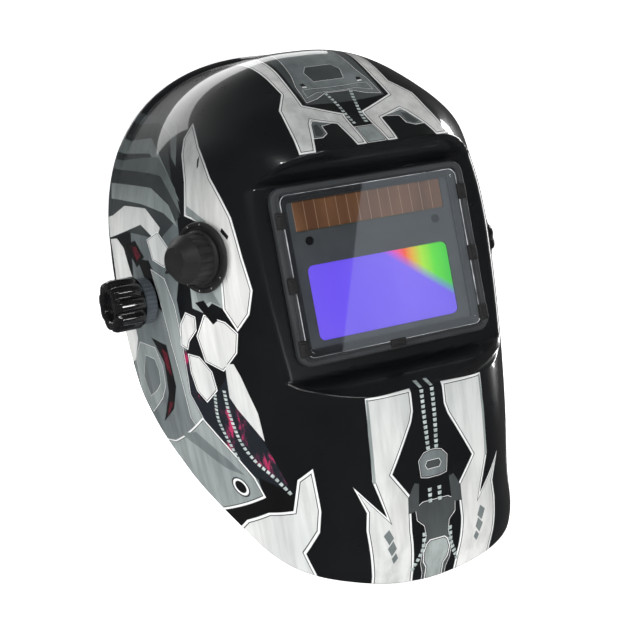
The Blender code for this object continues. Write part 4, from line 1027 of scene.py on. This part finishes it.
def hose(points, plane, side=1):
    """Beads printed along a curve: one small four-sided outline for each bead."""
    chart = chart_of(points, plane, side)
    path = np.array([point.to_2d() for point in smooth_path([(*spot, 0) for spot in chart], 12)])
    steps = np.linalg.norm(np.diff(path, axis=0), axis=1)
    travelled = np.concatenate([[0], np.cumsum(steps)])
    length = BEAD_LENGTH * MILLIMETRE
    beads = []
    for start in np.arange(0, travelled[-1] - length, BEAD_PITCH * MILLIMETRE):
        ends = [np.array([np.interp(start + reach, travelled, path[:, axis]) for axis in (0, 1)])
                for reach in (0, length)]
        forward = ends[1] - ends[0]
        sideways = np.array((-forward[1], forward[0])) / np.linalg.norm(forward) * BEAD_WIDTH * MILLIMETRE / 2
        beads.append(np.array([ends[0] - sideways, ends[1] - sideways * 0.8, ends[1] + sideways * 0.8,
                               ends[0] + sideways]))
    return beads


def crown_outline(parts, side):
    """Chart outline of points given in front view, then in plan view, then in front view again."""
    return np.concatenate([chart_of([(side * x, other) for x, other in points], plane)
                           for points, plane in zip(parts, ("front", "crown", "front")) if points])


def panel_layers():
    """Every printed outline as (look, chart outline), later ones over earlier ones."""
    layers = []

    def add(look, border, chart):
        if border:
            layers.append(("edge", chart))
            layers.append(("line", inset(chart, border * MILLIMETRE)))
            layers.append((look, inset(chart, (border + FINE_LINE) * MILLIMETRE)))
        else:
            layers.append((look, chart))

    for side in (1, -1):
        for look, border, outline in SIDE_PANELS:
            add(look, border, chart_of(outline, "side", side))
        rivet = chart_of([SIDE_RIVET], "side", side)[0]
        for look, radius in SIDE_RIVET_RADII:
            layers.append((look, disc(rivet, radius)))
        for route in SIDE_HOSES:
            layers.extend(("bead", bead) for bead in hose(route, "side", side))
    for look, border, outline in CENTRE_PANELS:
        both = list(outline) + [(-x, z) for x, z in reversed(outline)]
        add(look, border, chart_of(both, "front"))
    for look, border, *parts in CROWN_CENTRE:
        add(look, border, np.concatenate([crown_outline(parts, 1), crown_outline(parts, -1)[::-1]]))
    for side in (1, -1):
        for look, border, outline in FRONT_PANELS:
            add(look, border, chart_of([(side * x, z) for x, z in outline], "front"))
        for look, border, *parts in CROWN_PLATES:
            add(look, border, crown_outline(parts, side))
    for side in (1, -1):
        for route in CENTRE_HOSES:
            beads = hose([(side * x, z) for x, z in route], "front")
            layers.extend(("bead", bead) for bead in beads)
    return layers


# ---------------------------------------------------------------- shell


def chart_grid():
    """Places in the chart for the shell's own mesh: rings from the opening to the rim."""
    around = np.arange(SPOKES) * 2 * np.pi / SPOKES
    opening, rim = opening_reach(around), rim_reach(around)
    near = opening + RECESS_SPAN
    rings = [opening + (near - opening) * part for part in np.linspace(0, 1, RECESS_RINGS)]
    rings += [near + (rim - near) * part for part in np.linspace(0, 1, OUTER_RINGS)[1:]]
    return [to_chart(ring, around) for ring in rings]


def make_shell(looks):
    """Shell of even wall with the printed outlines cut into its mesh, one look for each region."""
    rings = chart_grid()
    verts = [tuple(spot) for ring in rings for spot in ring]
    last_ring = len(verts) - SPOKES
    outlines = [list(reversed(range(start, start + SPOKES))) for start in (last_ring, 0)]
    pivot, shade_spot = ([(spot.y * 1000, spot.z * 1000)] for spot in (PIVOT, SHADE_SPOT))
    holes = [disc(chart_of(pivot, "side", side)[0], SHELL_BORE * 1000, 32) for side in (1, -1)]
    holes.append(disc(chart_of(shade_spot, "side")[0], SHADE_BORE * 1000, 24))
    layers = panel_layers()
    for chart in holes + [chart for _, chart in layers]:
        chart = densified(chart if signed_area(chart) > 0 else chart[::-1])
        outlines.append(list(range(len(verts), len(verts) + len(chart))))
        verts.extend(tuple(spot) for spot in chart)
    names = [look for look, _ in layers]
    spots, _, faces, _, _, origins = delaunay_2d_cdt([Vector(v) for v in verts], [], outlines, 0, 1e-7)

    used = ["gloss_black"] + sorted(set(names)) + ["inside"]
    black, inside = used.index("gloss_black"), used.index("inside")
    kept, indices = [], []
    first_layer = 2 + len(holes)
    for face, origin in zip(faces, origins):
        if 0 not in origin or any(number in origin for number in range(1, first_layer)):
            continue
        top = max((number for number in origin if number >= first_layer), default=None)
        kept.append(face)
        indices.append(black if top is None else used.index(names[top - first_layer]))

    reach, around = from_chart(np.array([tuple(spot) for spot in spots]))
    outer = skin_points(reach, around)
    normals = normals_of(skin_points, reach, around)
    inner = outer - normals * WALL
    count = len(outer)
    a, b, c = (outer[[face[k] for face in kept]] for k in range(3))
    facing = np.sum(np.cross(b - a, c - a) * normals[[face[0] for face in kept]], axis=1)
    kept = [face if sign > 0 else tuple(reversed(face)) for face, sign in zip(kept, facing)]
    faces = [tuple(face) for face in kept]
    faces += [tuple(index + count for index in reversed(face)) for face in kept]
    indices += [inside] * len(kept)

    borders = open_edges(kept)
    edge_verts, edge_normals, rows = rounded_edge(borders, outer, normals)
    for left, right in borders:
        chain_left, chain_right = ([vert] + rows[vert] + [vert + count] for vert in (left, right))
        for step in range(EDGE_ROWS + 1):
            faces.append((chain_left[step], chain_left[step + 1], chain_right[step + 1], chain_right[step]))
            indices.append(black if step < 2 else inside)
    every = np.concatenate([outer, inner, np.array(edge_verts)])
    every_normals = np.concatenate([normals, -normals, np.array(edge_normals)])
    used_verts = sorted({index for face in faces for index in face})
    renumber = {old: new for new, old in enumerate(used_verts)}
    faces = [tuple(renumber[index] for index in face) for face in faces]
    shell = add_object("printed_shell", every[used_verts], faces, [looks[name] for name in used], indices, 0)
    shell.data.shade_smooth()
    shell.data.normals_split_custom_set_from_vertices([tuple(n) for n in every_normals[used_verts]])
    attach(shell, "shell_assembly")
    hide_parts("shell")


def open_edges(faces):
    """Edges that only one face has, in the order of the faces."""
    edges = dict.fromkeys((left, right) for face in faces for left, right in zip(face, [*face[1:], face[0]]))
    return [(left, right) for left, right in edges if (right, left) not in edges]


def rounded_edge(borders, outer, normals):
    """Points, normals and rows of a half-round edge between the outer and the inner skin."""
    sums = {}
    for left, right in borders:
        out = np.cross(outer[right] - outer[left], normals[left])
        out /= max(np.linalg.norm(out), 1e-9)
        for vert in (left, right):
            sums[vert] = sums.get(vert, 0) + out
    verts, edge_normals, rows = [], [], {}
    for vert, total in sums.items():
        out = total / max(np.linalg.norm(total), 1e-9)
        rows[vert] = [2 * len(outer) + len(verts) + step for step in range(EDGE_ROWS)]
        for share in (0.2, 0.5, 0.8):
            angle = math.pi * share
            depth = WALL * (0.5 - 0.5 * math.cos(angle))
            swell = WALL * 0.5 * math.sin(angle) * EDGE_SWELL
            verts.append(outer[vert] - normals[vert] * depth + out * swell)
            tilt = normals[vert] * math.cos(angle) + out * math.sin(angle)
            edge_normals.append(tilt / np.linalg.norm(tilt))
    return verts, edge_normals, rows


# ---------------------------------------------------------------- window


# Side clips of the window frame: their middles, and each clip's two steps as
# (x, depths, half width, half height, rounding)
CLIP_HEIGHTS = (0.0315, -0.0045, -0.0395)
CLIP_STEPS = ((0.0593, (-0.0056, -0.0036), 0.0029, 0.0045, 0.0007),
              (0.0600, (-0.0061, -0.0050), 0.0016, 0.0030, 0.0005))


def make_window(looks):
    """Frame with its clips, and the cover plate with a bead round it, coloured patchy light grey as a painted
    highlight.
    """
    profile = [(0.126, GAP, 0.026), (0.126, 0.0034, 0.026), (0.1244, 0.0043, 0.026), (0.1200, 0.0043, 0.0258),
               (0.1190, 0.0038, 0.0256), (0.1178, 0.0038, 0.0252), (0.1168, 0.0043, 0.0246),
               (0.1160, 0.0043, 0.024), (0.1156, 0.0036, 0.024), (0.1156, 0.0018, 0.024),
               (0.1060, 0.0018, 0.024), (0.1060, GAP, 0.024), (0.1114, GAP, 0.022), (0.1114, -0.006, 0.022),
               (0.1176, -0.006, 0.026), (0.1176, GAP, 0.026)]
    clips = []
    for side in (-1, 1):
        for height in CLIP_HEIGHTS:
            for x, y, half_width, half_height, rounding in CLIP_STEPS:
                clips.append(box_body((side * x - half_width, y[0], height - half_height),
                                      (side * x + half_width, y[1], height + half_height), rounding))
    clips.append(box_body((-0.005, -0.0056, -0.0490), (0.005, -0.0036, -0.0444), 0.0007))
    clips.append(box_body((-0.0028, -0.0061, -0.0480), (0.0028, -0.0050, -0.0455), 0.0005))
    *body, indices = two_tone(window_ring(profile, 0.008), joined(clips))
    body = placed(body, WINDOW)
    bezel = add_object("window_bezel", *body, [looks["bezel"], looks["matte"]], indices, 45, "shell_assembly")
    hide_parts("front_bezel")

    rows = [(0.1146, 0.0906, 0.0035, 0.0021), (0.1146, 0.0906, 0.0035, 0.0030),
            (0.1118, 0.0878, 0.0035, 0.0030)]
    for step in range(9):
        angle = math.pi * step / 8
        inwards = 0.0019 * (1 - math.cos(angle))
        rows.append((0.1118 - inwards, 0.0878 - inwards, 0.0035, 0.0031 + 0.0011 * math.sin(angle)))
    plate = loft([rounded(width, height, radius, depth) for width, height, radius, depth in rows])
    # The bead is the plate's raised edge; its light grey look is a painted highlight.
    bead = window_ring([(0.1154, 0.0036, 0.0245), (0.1154, 0.0044, 0.0245), (0.1144, 0.0044, 0.0242),
                        (0.1144, 0.0036, 0.0242)], 0.005)
    *body, indices = two_tone(plate, bead)
    body = placed(body, WINDOW)
    lens = add_object("cover_lens", *body, [looks["cover"], looks["bright"]], indices, 50, "shell_assembly")
    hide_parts("front_cover_lens")


def axis_matrix(spot, direction):
    """Local Z along a direction, local Y kept upwards."""
    return Matrix.Translation(spot) @ direction.to_track_quat("Z", "Y").to_matrix().to_4x4()


# Shade knob: where its pointer and its ticks stand, and the pointer's rows (reach, half width, low, high)
POINTER_TURN = 200
TICK_TURN = 30
POINTER_ROWS = ((0.004, 0.0058, 0.0118, 0.0158), (0.0095, 0.0044, 0.0120, 0.0156),
                (0.0145, 0.0022, 0.0125, 0.0152), (0.0178, 0.0005, 0.0132, 0.0148))


def make_shade_control(looks):
    """Scale ring with plain ticks, and the ribbed pointer knob on it."""
    axis = axis_matrix(SHADE_SPOT, SHADE_NORMAL)
    ring = [(0.0045, 0.0005), (0.0196, 0.0005), (0.0200, 0.0012), (0.0200, 0.0022), (0.0194, 0.0030),
            (0.0176, 0.0030), (0.0172, 0.0021), (0.0045, 0.0021)]
    body = placed(revolve(ring, 120, 0.0003, True), axis)
    marks = []
    for step in range(-4, 5):
        turn = Matrix.Rotation(math.radians(POINTER_TURN + TICK_TURN * step), 4, "Z")
        tick = box_body((0.0181, -0.00016, 0.0029), (0.0191, 0.00016, 0.00312), 0.00004, 1)
        marks.append(placed(tick, axis @ turn))
    plate = add_object("shade_scale", *body, looks["matte"], body="shell_assembly")
    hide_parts("shade_scale_ring")
    add_object("shade_scale_marks", *joined(marks), looks["marking"], body="shell_assembly")

    knob = [(0.0036, 0.0136), (0.0036, 0.0054), (0.0082, 0.0054), (0.0082, 0.0025), (0.0150, 0.0025),
            (0.0155, 0.0031), (0.0155, 0.0038), (0.0144, 0.0047), (0.0143, 0.0056, 1), (0.0137, 0.0146, 1),
            (0.0133, 0.0156), (0.0090, 0.0212), (0.0076, 0.0225)]
    body = placed(revolve(knob, 216, 0.0003, False, 18, 0.0007, 3.0), axis)
    loops = []
    for x, half, low, high in POINTER_ROWS:
        middle, rise = (low + high) / 2, (high - low) / 2
        loops.append([Vector((x, half * math.cos(t) * 0.98, middle + rise * math.sin(t)))
                      for t in np.linspace(0, 2 * math.pi, 24, endpoint=False)])
    pointer = placed(loft(loops), axis @ Matrix.Rotation(math.radians(POINTER_TURN), 4, "Z"))
    made = add_object("shade_knob_turned", *joined([body, pointer]), looks["matte"],
                      body="shade_knob_body", smooth=35)
    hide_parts("shade_knob")


# ---------------------------------------------------------------- pivots


# Where the tension knobs and the spacers start and end, from the middle of the head
KNOB_REACH = (0.1124, 0.1314)
SPACER_REACH = (0.1052, 0.1120)


def make_pivots(looks):
    """Lobed tension knobs and ribbed spacers; rows are (radius, distance from the middle, share)."""
    near, far = KNOB_REACH
    low, high = SPACER_REACH
    for label, side in (("right", -1), ("left", 1)):
        axis = axis_matrix(Vector((0, PIVOT.y, PIVOT.z)), Vector((side, 0, 0)))
        profile = [(0.0046, near + 0.0122), (0.0046, near + 0.0090), (0.0069, near + 0.0090), (0.0069, near),
                   (0.0138, near), (0.0146, near + 0.0008, 0.6), (0.0155, near + 0.0022, 1),
                   (0.0155, far - 0.0030, 1), (0.0146, far - 0.0008, 0.8), (0.0128, far - 0.0001, 0.4),
                   (0.0100, far), (0.0086, far - 0.0012), (0.0086, far - 0.0034)]
        body = placed(revolve(profile, 180, 0.0006, False, 9, 0.0026, 2.2), axis)
        knob = add_object(f"tension_knob_{label}_lobed", *body, looks["knob"], smooth=50,
                          body=f"tension_{label}")
        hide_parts(f"tension_knob_{label}")

        rows = [(0.0046, low), (0.0126, low), (0.0134, low + 0.0008, 1), (0.0134, high - 0.0008, 1),
                (0.0126, high), (0.0046, high)]
        body = placed(revolve(rows, 180, 0.0003, True, 30, 0.0006, 1.5), axis)
        spacer = add_object(f"pivot_spacer_{label}_ribbed", *body, looks["spacer"], smooth=35,
                            body="headgear")
        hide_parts(f"pivot_spacer_{label}")


# ---------------------------------------------------------------- headgear


def band_point(turn, grow=0.0):
    """Point on the headband's middle line; 0 is the forehead, 180 the back of the head."""
    angle = math.radians(turn)
    power = 2.0 if math.cos(angle) > 0 else 3.0
    front = BAND_FRONT if math.cos(angle) > 0 else BAND_REAR
    x = (BAND_HALF_WIDTH + grow) * math.copysign(abs(math.sin(angle)) ** (2 / power), math.sin(angle))
    y = -(front + grow) * math.copysign(abs(math.cos(angle)) ** (2 / power), math.cos(angle))
    return Vector((x, y, BAND_TILT * y))


def tail_curve(x):
    """How far back the rear strap lies at a distance from the middle."""
    half_width, reach, power = TAIL_CURVE
    return reach * (1 - (max(x, 0) / half_width) ** power) ** (1 / power)


def crown_line(side, grow, start, end, steps):
    """Part of the arch over the head, between two angles above the ear."""
    return [Vector((side * (CROWN_HALF_WIDTH + grow) * math.cos(angle), 0.0,
                    (CROWN_STRAP_Z + grow) * math.sin(angle)))
            for angle in np.radians(np.linspace(start, end, steps))]


def bore(radius, start, direction, length):
    """Round cutter from a point along a direction."""
    axis = axis_matrix(Vector(start), Vector(direction))
    return placed(revolve([(radius, 0.0), (radius, length)], 32), axis)


def stitches(path):
    """Thread stitches along a path of (point, outward direction) pairs."""
    bodies = []
    travelled, next_start = 0.0, STITCH_PITCH / 2
    for (left, normal), (right, _) in zip(path, path[1:]):
        step = (right - left).length
        while next_start < travelled + step:
            along_path = (right - left) / step
            middle = left + along_path * (next_start - travelled) + normal * STITCH_LIFT
            across = along_path.cross(normal).normalized()
            loops = []
            for part in (-0.5, -0.3, 0.0, 0.3, 0.5):
                thick = STITCH_RADIUS * max(math.cos(math.pi * part), 0.15)
                dive = normal * STITCH_RADIUS * 1.2 * (2 * part) ** 2
                loops.append([middle + along_path * part * STITCH_LENGTH - dive
                              + (across * math.cos(a) + normal * math.sin(a)) * thick
                              for a in np.arange(6) * math.pi / 3])
            bodies.append(loft(loops))
            next_start += STITCH_PITCH
        travelled += step
    return joined(bodies)


def sweat_frame(turn):
    """Middle point and outward direction of the sweatband at an angle round the head."""
    middle = band_point(turn, -(BAND_THICKNESS / 2 + GAP + SWEAT_THICKNESS / 2))
    run = band_point(turn + 0.5) - band_point(turn - 0.5)
    out = UP.cross(run).normalized()
    if out.x * middle.x + out.y * middle.y < 0:
        out = -out
    return middle, out


def sweat_width(turn):
    """Half the sweatband's height, which rounds off towards its two ends."""
    edge = max(0.0, (abs(turn) - SWEAT_TURN + 10.0) / 10.0)
    return SWEAT_HALF_HEIGHT * math.sqrt(max(1 - edge ** 2.4, 0.02))


def sweat_point(turn, share, inwards):
    """Point of the sweatband's face; share runs from -1 at its lower edge to 1 at its upper edge."""
    middle, out = sweat_frame(turn)
    middle = middle + UP * sweat_width(turn) * share
    if not inwards:
        return middle + out * SWEAT_THICKNESS * 0.5 * (1 - abs(share) ** 10) ** 0.5
    nearest = abs(turn - CHANNEL_TURN * round(turn / CHANNEL_TURN))
    quilt = 1 - 0.36 * math.exp(-(nearest / 1.1) ** 2) * (1 - share ** 4)
    hem = 1 - 0.30 * math.exp(-((abs(share) - SWEAT_HEM) / 0.05) ** 2)
    end = min(1.0, max(0.25, (SWEAT_TURN - abs(turn)) / 3.0)) ** 0.5
    return middle - out * SWEAT_THICKNESS * 0.5 * (1 - abs(share) ** 3.5) ** 0.5 * quilt * hem * end


def sweat_threads(places):
    """Stitches through (angle, share) places on the sweatband's face."""
    return stitches([(sweat_point(turn, share, True), -sweat_frame(turn)[1]) for turn, share in places])


def make_sweatband(looks):
    """Crowned pad with sewn cross channels and a stitched hem."""
    shares = [math.sin(math.pi * (step / 24 - 0.5)) for step in range(25)]
    loops = []
    for turn in np.linspace(-SWEAT_TURN, SWEAT_TURN, 209):
        inner = [sweat_point(turn, share, True) for share in shares]
        loops.append(inner + [sweat_point(turn, share, False) for share in reversed(shares[1:-1])])
    threads = []
    for share in (-SWEAT_HEM, SWEAT_HEM):
        turns = np.linspace(-SWEAT_TURN + 5, SWEAT_TURN - 5, 160)
        threads.append(sweat_threads([(turn, share) for turn in turns]))
    for number in range(-3, 4):
        rows = np.linspace(-0.74, 0.74, 24)
        threads.append(sweat_threads([(CHANNEL_TURN * number, share) for share in rows]))
    *body, indices = two_tone(loft(loops), joined(threads))
    made = add_object("sweatband_padded", *body, [looks["cloth"], looks["stitch"]], indices, 60, "headgear")
    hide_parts("sweatband")


def pad_point(x, z, share):
    """Head-side face of the rear pad: share runs from 1 at the edge to 0 in the middle."""
    dome = (1 - share ** 3.2) ** 0.5
    seam = math.exp(-((abs(x) - PAD_SEAM) / 0.0011) ** 2) * (1 - share ** 6)
    hem = math.exp(-((share - PAD_HEM) / 0.035) ** 2)
    swell = PAD_SWELL * dome * (1 - 0.34 * seam) * (1 - 0.22 * hem)
    return Vector((x, PAD_EDGE_Y - swell, RATCHET_Z + z))


def make_rear_pad(looks):
    """Domed pad with two sewn channels and a stitched hem."""
    width, height, radius = PAD_SIZE
    outline = [point.xz for point in rounded(width, height, radius, 0.0, steps=14)]
    dense = []
    for left, right in zip(outline, outline[1:] + outline[:1]):
        count = max(1, math.ceil((right - left).length / 0.0012))
        dense.extend(left.lerp(right, step / count) for step in range(count))
    loops = [[Vector((p.x * share, y, RATCHET_Z + p.y * share)) for p in dense] for share, y in PAD_BACK_ROWS]
    loops += [[pad_point(p.x * share, p.y * share, share) for p in dense] for share in PAD_SHARES]
    forward = Vector((0, -1, 0))
    ring = [(pad_point(p.x * PAD_HEM, p.y * PAD_HEM, PAD_HEM), forward) for p in dense + dense[:1]]
    threads = [stitches(ring)]
    for x in (-PAD_SEAM, PAD_SEAM):
        rows = np.linspace(-0.72, 0.72, 20) * height / 2
        threads.append(stitches([(pad_point(x, z, abs(2 * z / height)), forward) for z in rows]))
    *body, indices = two_tone(loft(loops), joined(threads))
    made = add_object("rear_pad_padded", *body, [looks["cloth"], looks["stitch"]], indices, 60, "headgear")
    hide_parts("rear_pad")


def strap_piece(name, node_name, path, widths, thickness, looks, up=UP):
    """Moulded strap along a path, in place of a CAD node."""
    made = add_object(name, *strap(path, widths, flat_section(thickness), up), looks["plastic"], smooth=35)
    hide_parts(node_name)
    return made


def make_headgear(looks):
    """Headband, crown straps and rear straps with their holes, and the lobed ratchet knob."""
    turns = np.linspace(-118, 118, 119)
    widths = [BAND_HEIGHT - 0.005 * min(abs(turn) / 90, 1.0) for turn in turns]
    band = strap_piece("headband_moulded", "headband", [band_point(turn) for turn in turns], widths,
                       BAND_THICKNESS, looks)
    strap_rivet_z = BAND_TILT * STRAP_RIVET_Y
    for side in (-1, 1):
        for y, z in ((RIVET_Y, PIVOT.z), (0.0, CROWN_RIVET_Z), (STRAP_RIVET_Y, strap_rivet_z)):
            drill(band, bore(RIVET_HOLE, (side * 0.060, y, z), (side, 0, 0), 0.035))
    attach(band, "headgear")

    for label, side, grow in (("right", -1, 0.0), ("left", 1, 0.0019)):
        path = [Vector((side * CROWN_HALF_WIDTH, 0, z)) for z in np.linspace(-0.010, 0.0, 9)]
        path += crown_line(side, 0.0, 2, 62, 30) + crown_line(side, grow, 74, 100, 14)
        crown = strap_piece(f"crown_strap_{label}_moulded", f"crown_strap_{label}", path,
                            end_taper(path, CROWN_WIDTH), STRAP_THICKNESS, looks, Vector((0, 1, 0)))
        drill(crown, bore(RIVET_HOLE, (side * 0.075, 0, CROWN_RIVET_Z), (side, 0, 0), 0.017))
        for x in (-0.005, 0.005):
            drill(crown, bore(PEG_HOLE, (x, 0, CROWN_STRAP_Z - 0.006), UP, 0.014))
        for x in (0.021, 0.029, 0.037):
            drill(crown, bore(PEG_HOLE, (side * x, 0, CROWN_STRAP_Z - 0.016), UP, 0.022))
        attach(crown, "headgear")

        layer_y = TAIL_INNER_Y if label == "right" else TAIL_OUTER_Y
        route = [band_point(side * turn, 0.0023) for turn in (102, 108, 115, 122, 130)]
        for x in (0.0655, 0.061, 0.056):
            route.append(Vector((side * x, tail_curve(x), BAND_TILT * tail_curve(x))))
        end = Vector((side * (TAIL_END + 0.0004), min(layer_y, tail_curve(TAIL_END)), RATCHET_Z))
        path = smooth_path(route + [end], 6)
        rear = strap_piece(f"rear_strap_{label}_flexible", f"rear_strap_{label}", path,
                           end_taper(path, STRAP_HEIGHT, False), STRAP_THICKNESS, looks)
        drill(rear, bore(RIVET_HOLE, (side * 0.060, STRAP_RIVET_Y, strap_rivet_z), (side, 0, 0), 0.035))
        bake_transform(rear)

    axis = axis_matrix(Vector((0, 0, RATCHET_Z)), Vector((0, 1, 0)))
    profile = [(0.0034, 0.1130), (0.0034, 0.1043), (0.0170, 0.1043), (0.0185, 0.1050, 0.7),
               (0.0200, 0.1070, 1), (0.0200, 0.1180, 1), (0.0185, 0.1205, 0.8), (0.0152, 0.1216),
               (0.0140, 0.1206), (0.0060, 0.1206)]
    body = placed(revolve(profile, 216, 0.0006, False, 12, 0.0017, 1.4), axis)
    knob = add_object("ratchet_knob_lobed", *body, looks["plastic"], body="ratchet_drive", smooth=50)
    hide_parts("ratchet_knob")


# ---------------------------------------------------------------- nodes kept from the CAD


def soften(node_name, look, width, looks):
    """Copy of a CAD node of the headgear with its sharp edges rounded."""
    node_object = NODES[node_name]
    mesh = node_object.data.copy()
    mesh.transform(node_object.matrix_world)
    made = bpy.data.objects.new(f"{node_name}_softened", mesh)
    bpy.context.scene.collection.objects.link(made)
    modifier = made.modifiers.new("round", "BEVEL")
    modifier.width = width
    modifier.segments = 3
    modifier.limit_method = "ANGLE"
    modifier.angle_limit = math.radians(40)
    apply_modifiers(made, 35)
    made.data.materials.clear()
    made.data.materials.append(looks[look])
    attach(made, "headgear")
    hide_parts(node_name)


# CAD nodes that are shown as they are, with their looks
CARRIED = {
    "adf_front_housing": "housing", "adf_rear_housing": "housing", "solar_panel": "solar",
    "lcd_filter": "filter", "arc_sensor_right": "sensor", "arc_sensor_left": "sensor",
    "circuit_board": "board", "backup_battery": "steel", "sensitivity_dial": "matte", "delay_dial": "matte",
    "inner_frame": "bezel", "inner_cover_lens": "clear", "shade_pot_nut": "steel",
    "shade_potentiometer": "steel", "shade_cable": "jacket", "ratchet_pinion": "spacer",
}
CARRIED_BOTH_SIDES = {
    "knob_insert": "brass", "side_arm_rivet": "steel", "crown_strap_rivet": "steel",
    "rear_strap_rivet": "steel", "rack_tail": "plastic",
}
SCREWS = 4

# Nodes of the headgear whose sharp edges are rounded: (name, look, slot, rounding)
SOFTENED = (
    ("ratchet_housing", "plastic", "black_plastic", 0.0008),
    ("ratchet_cover", "plastic", "black_plastic", 0.0006),
    ("side_arm_right", "plastic", "black_plastic", 0.0005),
    ("side_arm_left", "plastic", "black_plastic", 0.0005),
    ("crown_peg", "plastic", "black_plastic", 0.0004),
    ("stop_plate_right", "steel", "bright_steel", 0.0002),
    ("stop_plate_left", "steel", "bright_steel", 0.0002),
    ("pivot_bolt_right", "steel", "bright_steel", 0.0004),
    ("pivot_bolt_left", "steel", "bright_steel", 0.0004),
)


def dress_nodes(looks):
    """Put the looks on the CAD nodes that stay visible."""
    wanted = dict(CARRIED)
    for name, look in CARRIED_BOTH_SIDES.items():
        for label in ("right", "left"):
            wanted[f"{name}_{label}"] = look
    for number in range(1, SCREWS + 1):
        wanted[f"ratchet_screw_{number}"] = "steel"
    for name, look in wanted.items():
        mesh = NODES[name].data
        mesh.materials.clear()
        mesh.materials.append(looks[look])


# ---------------------------------------------------------------- stage, light and camera


def make_stage():
    """Pale floor that turns up into a backdrop, and a plain white surround beyond it."""
    floor_z = CAD_BOX[0][2] - 0.002
    half, front, back, height, bend = 3.0, -3.0, 3.2, 4.0, 1.2
    rows = [(front, 0.0), (back - bend, 0.0)]
    for step in range(1, 13):
        angle = math.pi / 2 * step / 12
        rows.append((back - bend + bend * math.sin(angle), bend * (1 - math.cos(angle))))
    rows.append((back, height))
    verts = [(x, y, floor_z + z) for y, z in rows for x in (-half, half)]
    faces = [(2 * row, 2 * row + 1, 2 * row + 3, 2 * row + 2) for row in range(len(rows) - 1)]
    pale, tree = new_material("pale_floor")
    drift = noise(tree, 3.0, 3.0)
    tone = ramp(tree, drift, ((0.3, (0.90, 0.90, 0.895)), (0.7, (0.93, 0.93, 0.93))))
    shade(tree, base_color=tone, roughness=0.9, specular_ior_level=0.1,
          emission_color=(1, 1, 1), emission_strength=0.72)
    stage = add_object("studio_floor", verts, faces, pale, smooth=60)
    stage.visible_glossy = False

    white, tree = new_material("white_surround")
    shade(tree, emission_color=(1, 1, 1), emission_strength=1.0)
    rows = [(0.1, -0.02), (2.6, -0.02), (3.3, 0.3), (3.5, 1.2), (3.5, 3.6), (0.1, 4.2)]
    loops = [[Vector((reach * math.cos(turn), reach * math.sin(turn), floor_z + z))
              for turn in np.arange(64) * math.pi / 32] for reach, z in rows]
    surround = add_object("studio_surround", *loft(loops), white, smooth=60)
    surround.visible_glossy = False
    surround.visible_diffuse = False
    surround.visible_shadow = False


def area_light(name, place, target, size, energy):
    """White rectangular light that faces a target."""
    data = bpy.data.lights.new(name, "AREA")
    data.shape = "RECTANGLE"
    data.size, data.size_y = size
    data.energy = energy
    lamp = bpy.data.objects.new(name, data)
    lamp.location = place
    lamp.rotation_euler = (Vector(target) - Vector(place)).to_track_quat("-Z", "Y").to_euler()
    bpy.context.scene.collection.objects.link(lamp)
    return lamp


def make_lights():
    """Broad softboxes light the helmet unseen; the strips are what its gloss reflects."""
    middle, crown = (0, -0.08, 0), (0, 0.0, 0.08)
    area_light("rear_top_softbox", (-0.55, 1.15, 1.25), crown, (1.9, 0.9), 20).visible_glossy = False
    area_light("crown_strip", (0.1, 1.6, 1.25), crown, (2.2, 0.7), 9)
    area_light("side_strip", (1.5, 0.1, 0.35), middle, (0.22, 1.5), 12)
    area_light("key_softbox", (-1.9, -0.45, 0.15), middle, (0.5, 1.5), 14).visible_glossy = False
    area_light("front_softbox", (-0.5, -2.2, 0.3), middle, (1.2, 0.8), 14).visible_glossy = False
    area_light("glint_strip", (-1.1, -1.1, 1.0), middle, (0.25, 0.10), 2)
    area_light("front_strip", (-0.25, -1.9, 1.05), middle, (1.1, 0.16), 5)
    area_light("front_fill", (0.6, -2.4, -0.3), middle, (0.5, 0.3), 7)
    world = bpy.data.worlds.new("studio")
    world.use_nodes = True
    bpy.context.scene.world = world
    background = world.node_tree.nodes["Background"]
    background.inputs["Color"].default_value = (1, 1, 1, 1)
    background.inputs["Strength"].default_value = 0.05


def make_camera():
    """Camera at the photo's view: a little above, from the wearer's right, and rolled.

    The angles, the distances and the lens are the values that a fit to the photo gave."""
    turn, rise, roll = (math.radians(angle) for angle in (-27.4912, 5.6335, -8.6579))
    distance, side_shift, up_shift, lens = 0.9333, -0.0337, -0.0330, 92.9
    back = Vector((math.sin(turn) * math.cos(rise), -math.cos(turn) * math.cos(rise), math.sin(rise)))
    right = Vector((math.cos(turn), math.sin(turn), 0))
    up = right.cross(-back)
    across = right * math.cos(roll) + up * math.sin(roll)
    upwards = up * math.cos(roll) - right * math.sin(roll)
    data = bpy.data.cameras.new("camera")
    data.lens = lens
    data.sensor_width = 36.0
    camera = bpy.data.objects.new("camera", data)
    bpy.context.scene.collection.objects.link(camera)
    camera.matrix_world = Matrix.Translation(
        back * distance + across * side_shift + upwards * up_shift + Vector((0, WINDOW_Y, 0))
    ) @ Matrix((across, upwards, back)).transposed().to_4x4()
    bpy.context.scene.camera = camera
    bpy.context.scene.view_settings.view_transform = "Standard"


def main():
    make_camera()
    looks = make_materials()
    dress_nodes(looks)
    make_shell(looks)
    make_window(looks)
    make_shade_control(looks)
    make_pivots(looks)
    make_sweatband(looks)
    make_rear_pad(looks)
    make_headgear(looks)
    for name, look, slot, width in SOFTENED:
        soften(name, look, width, looks)
    make_stage()
    make_lights()


main()
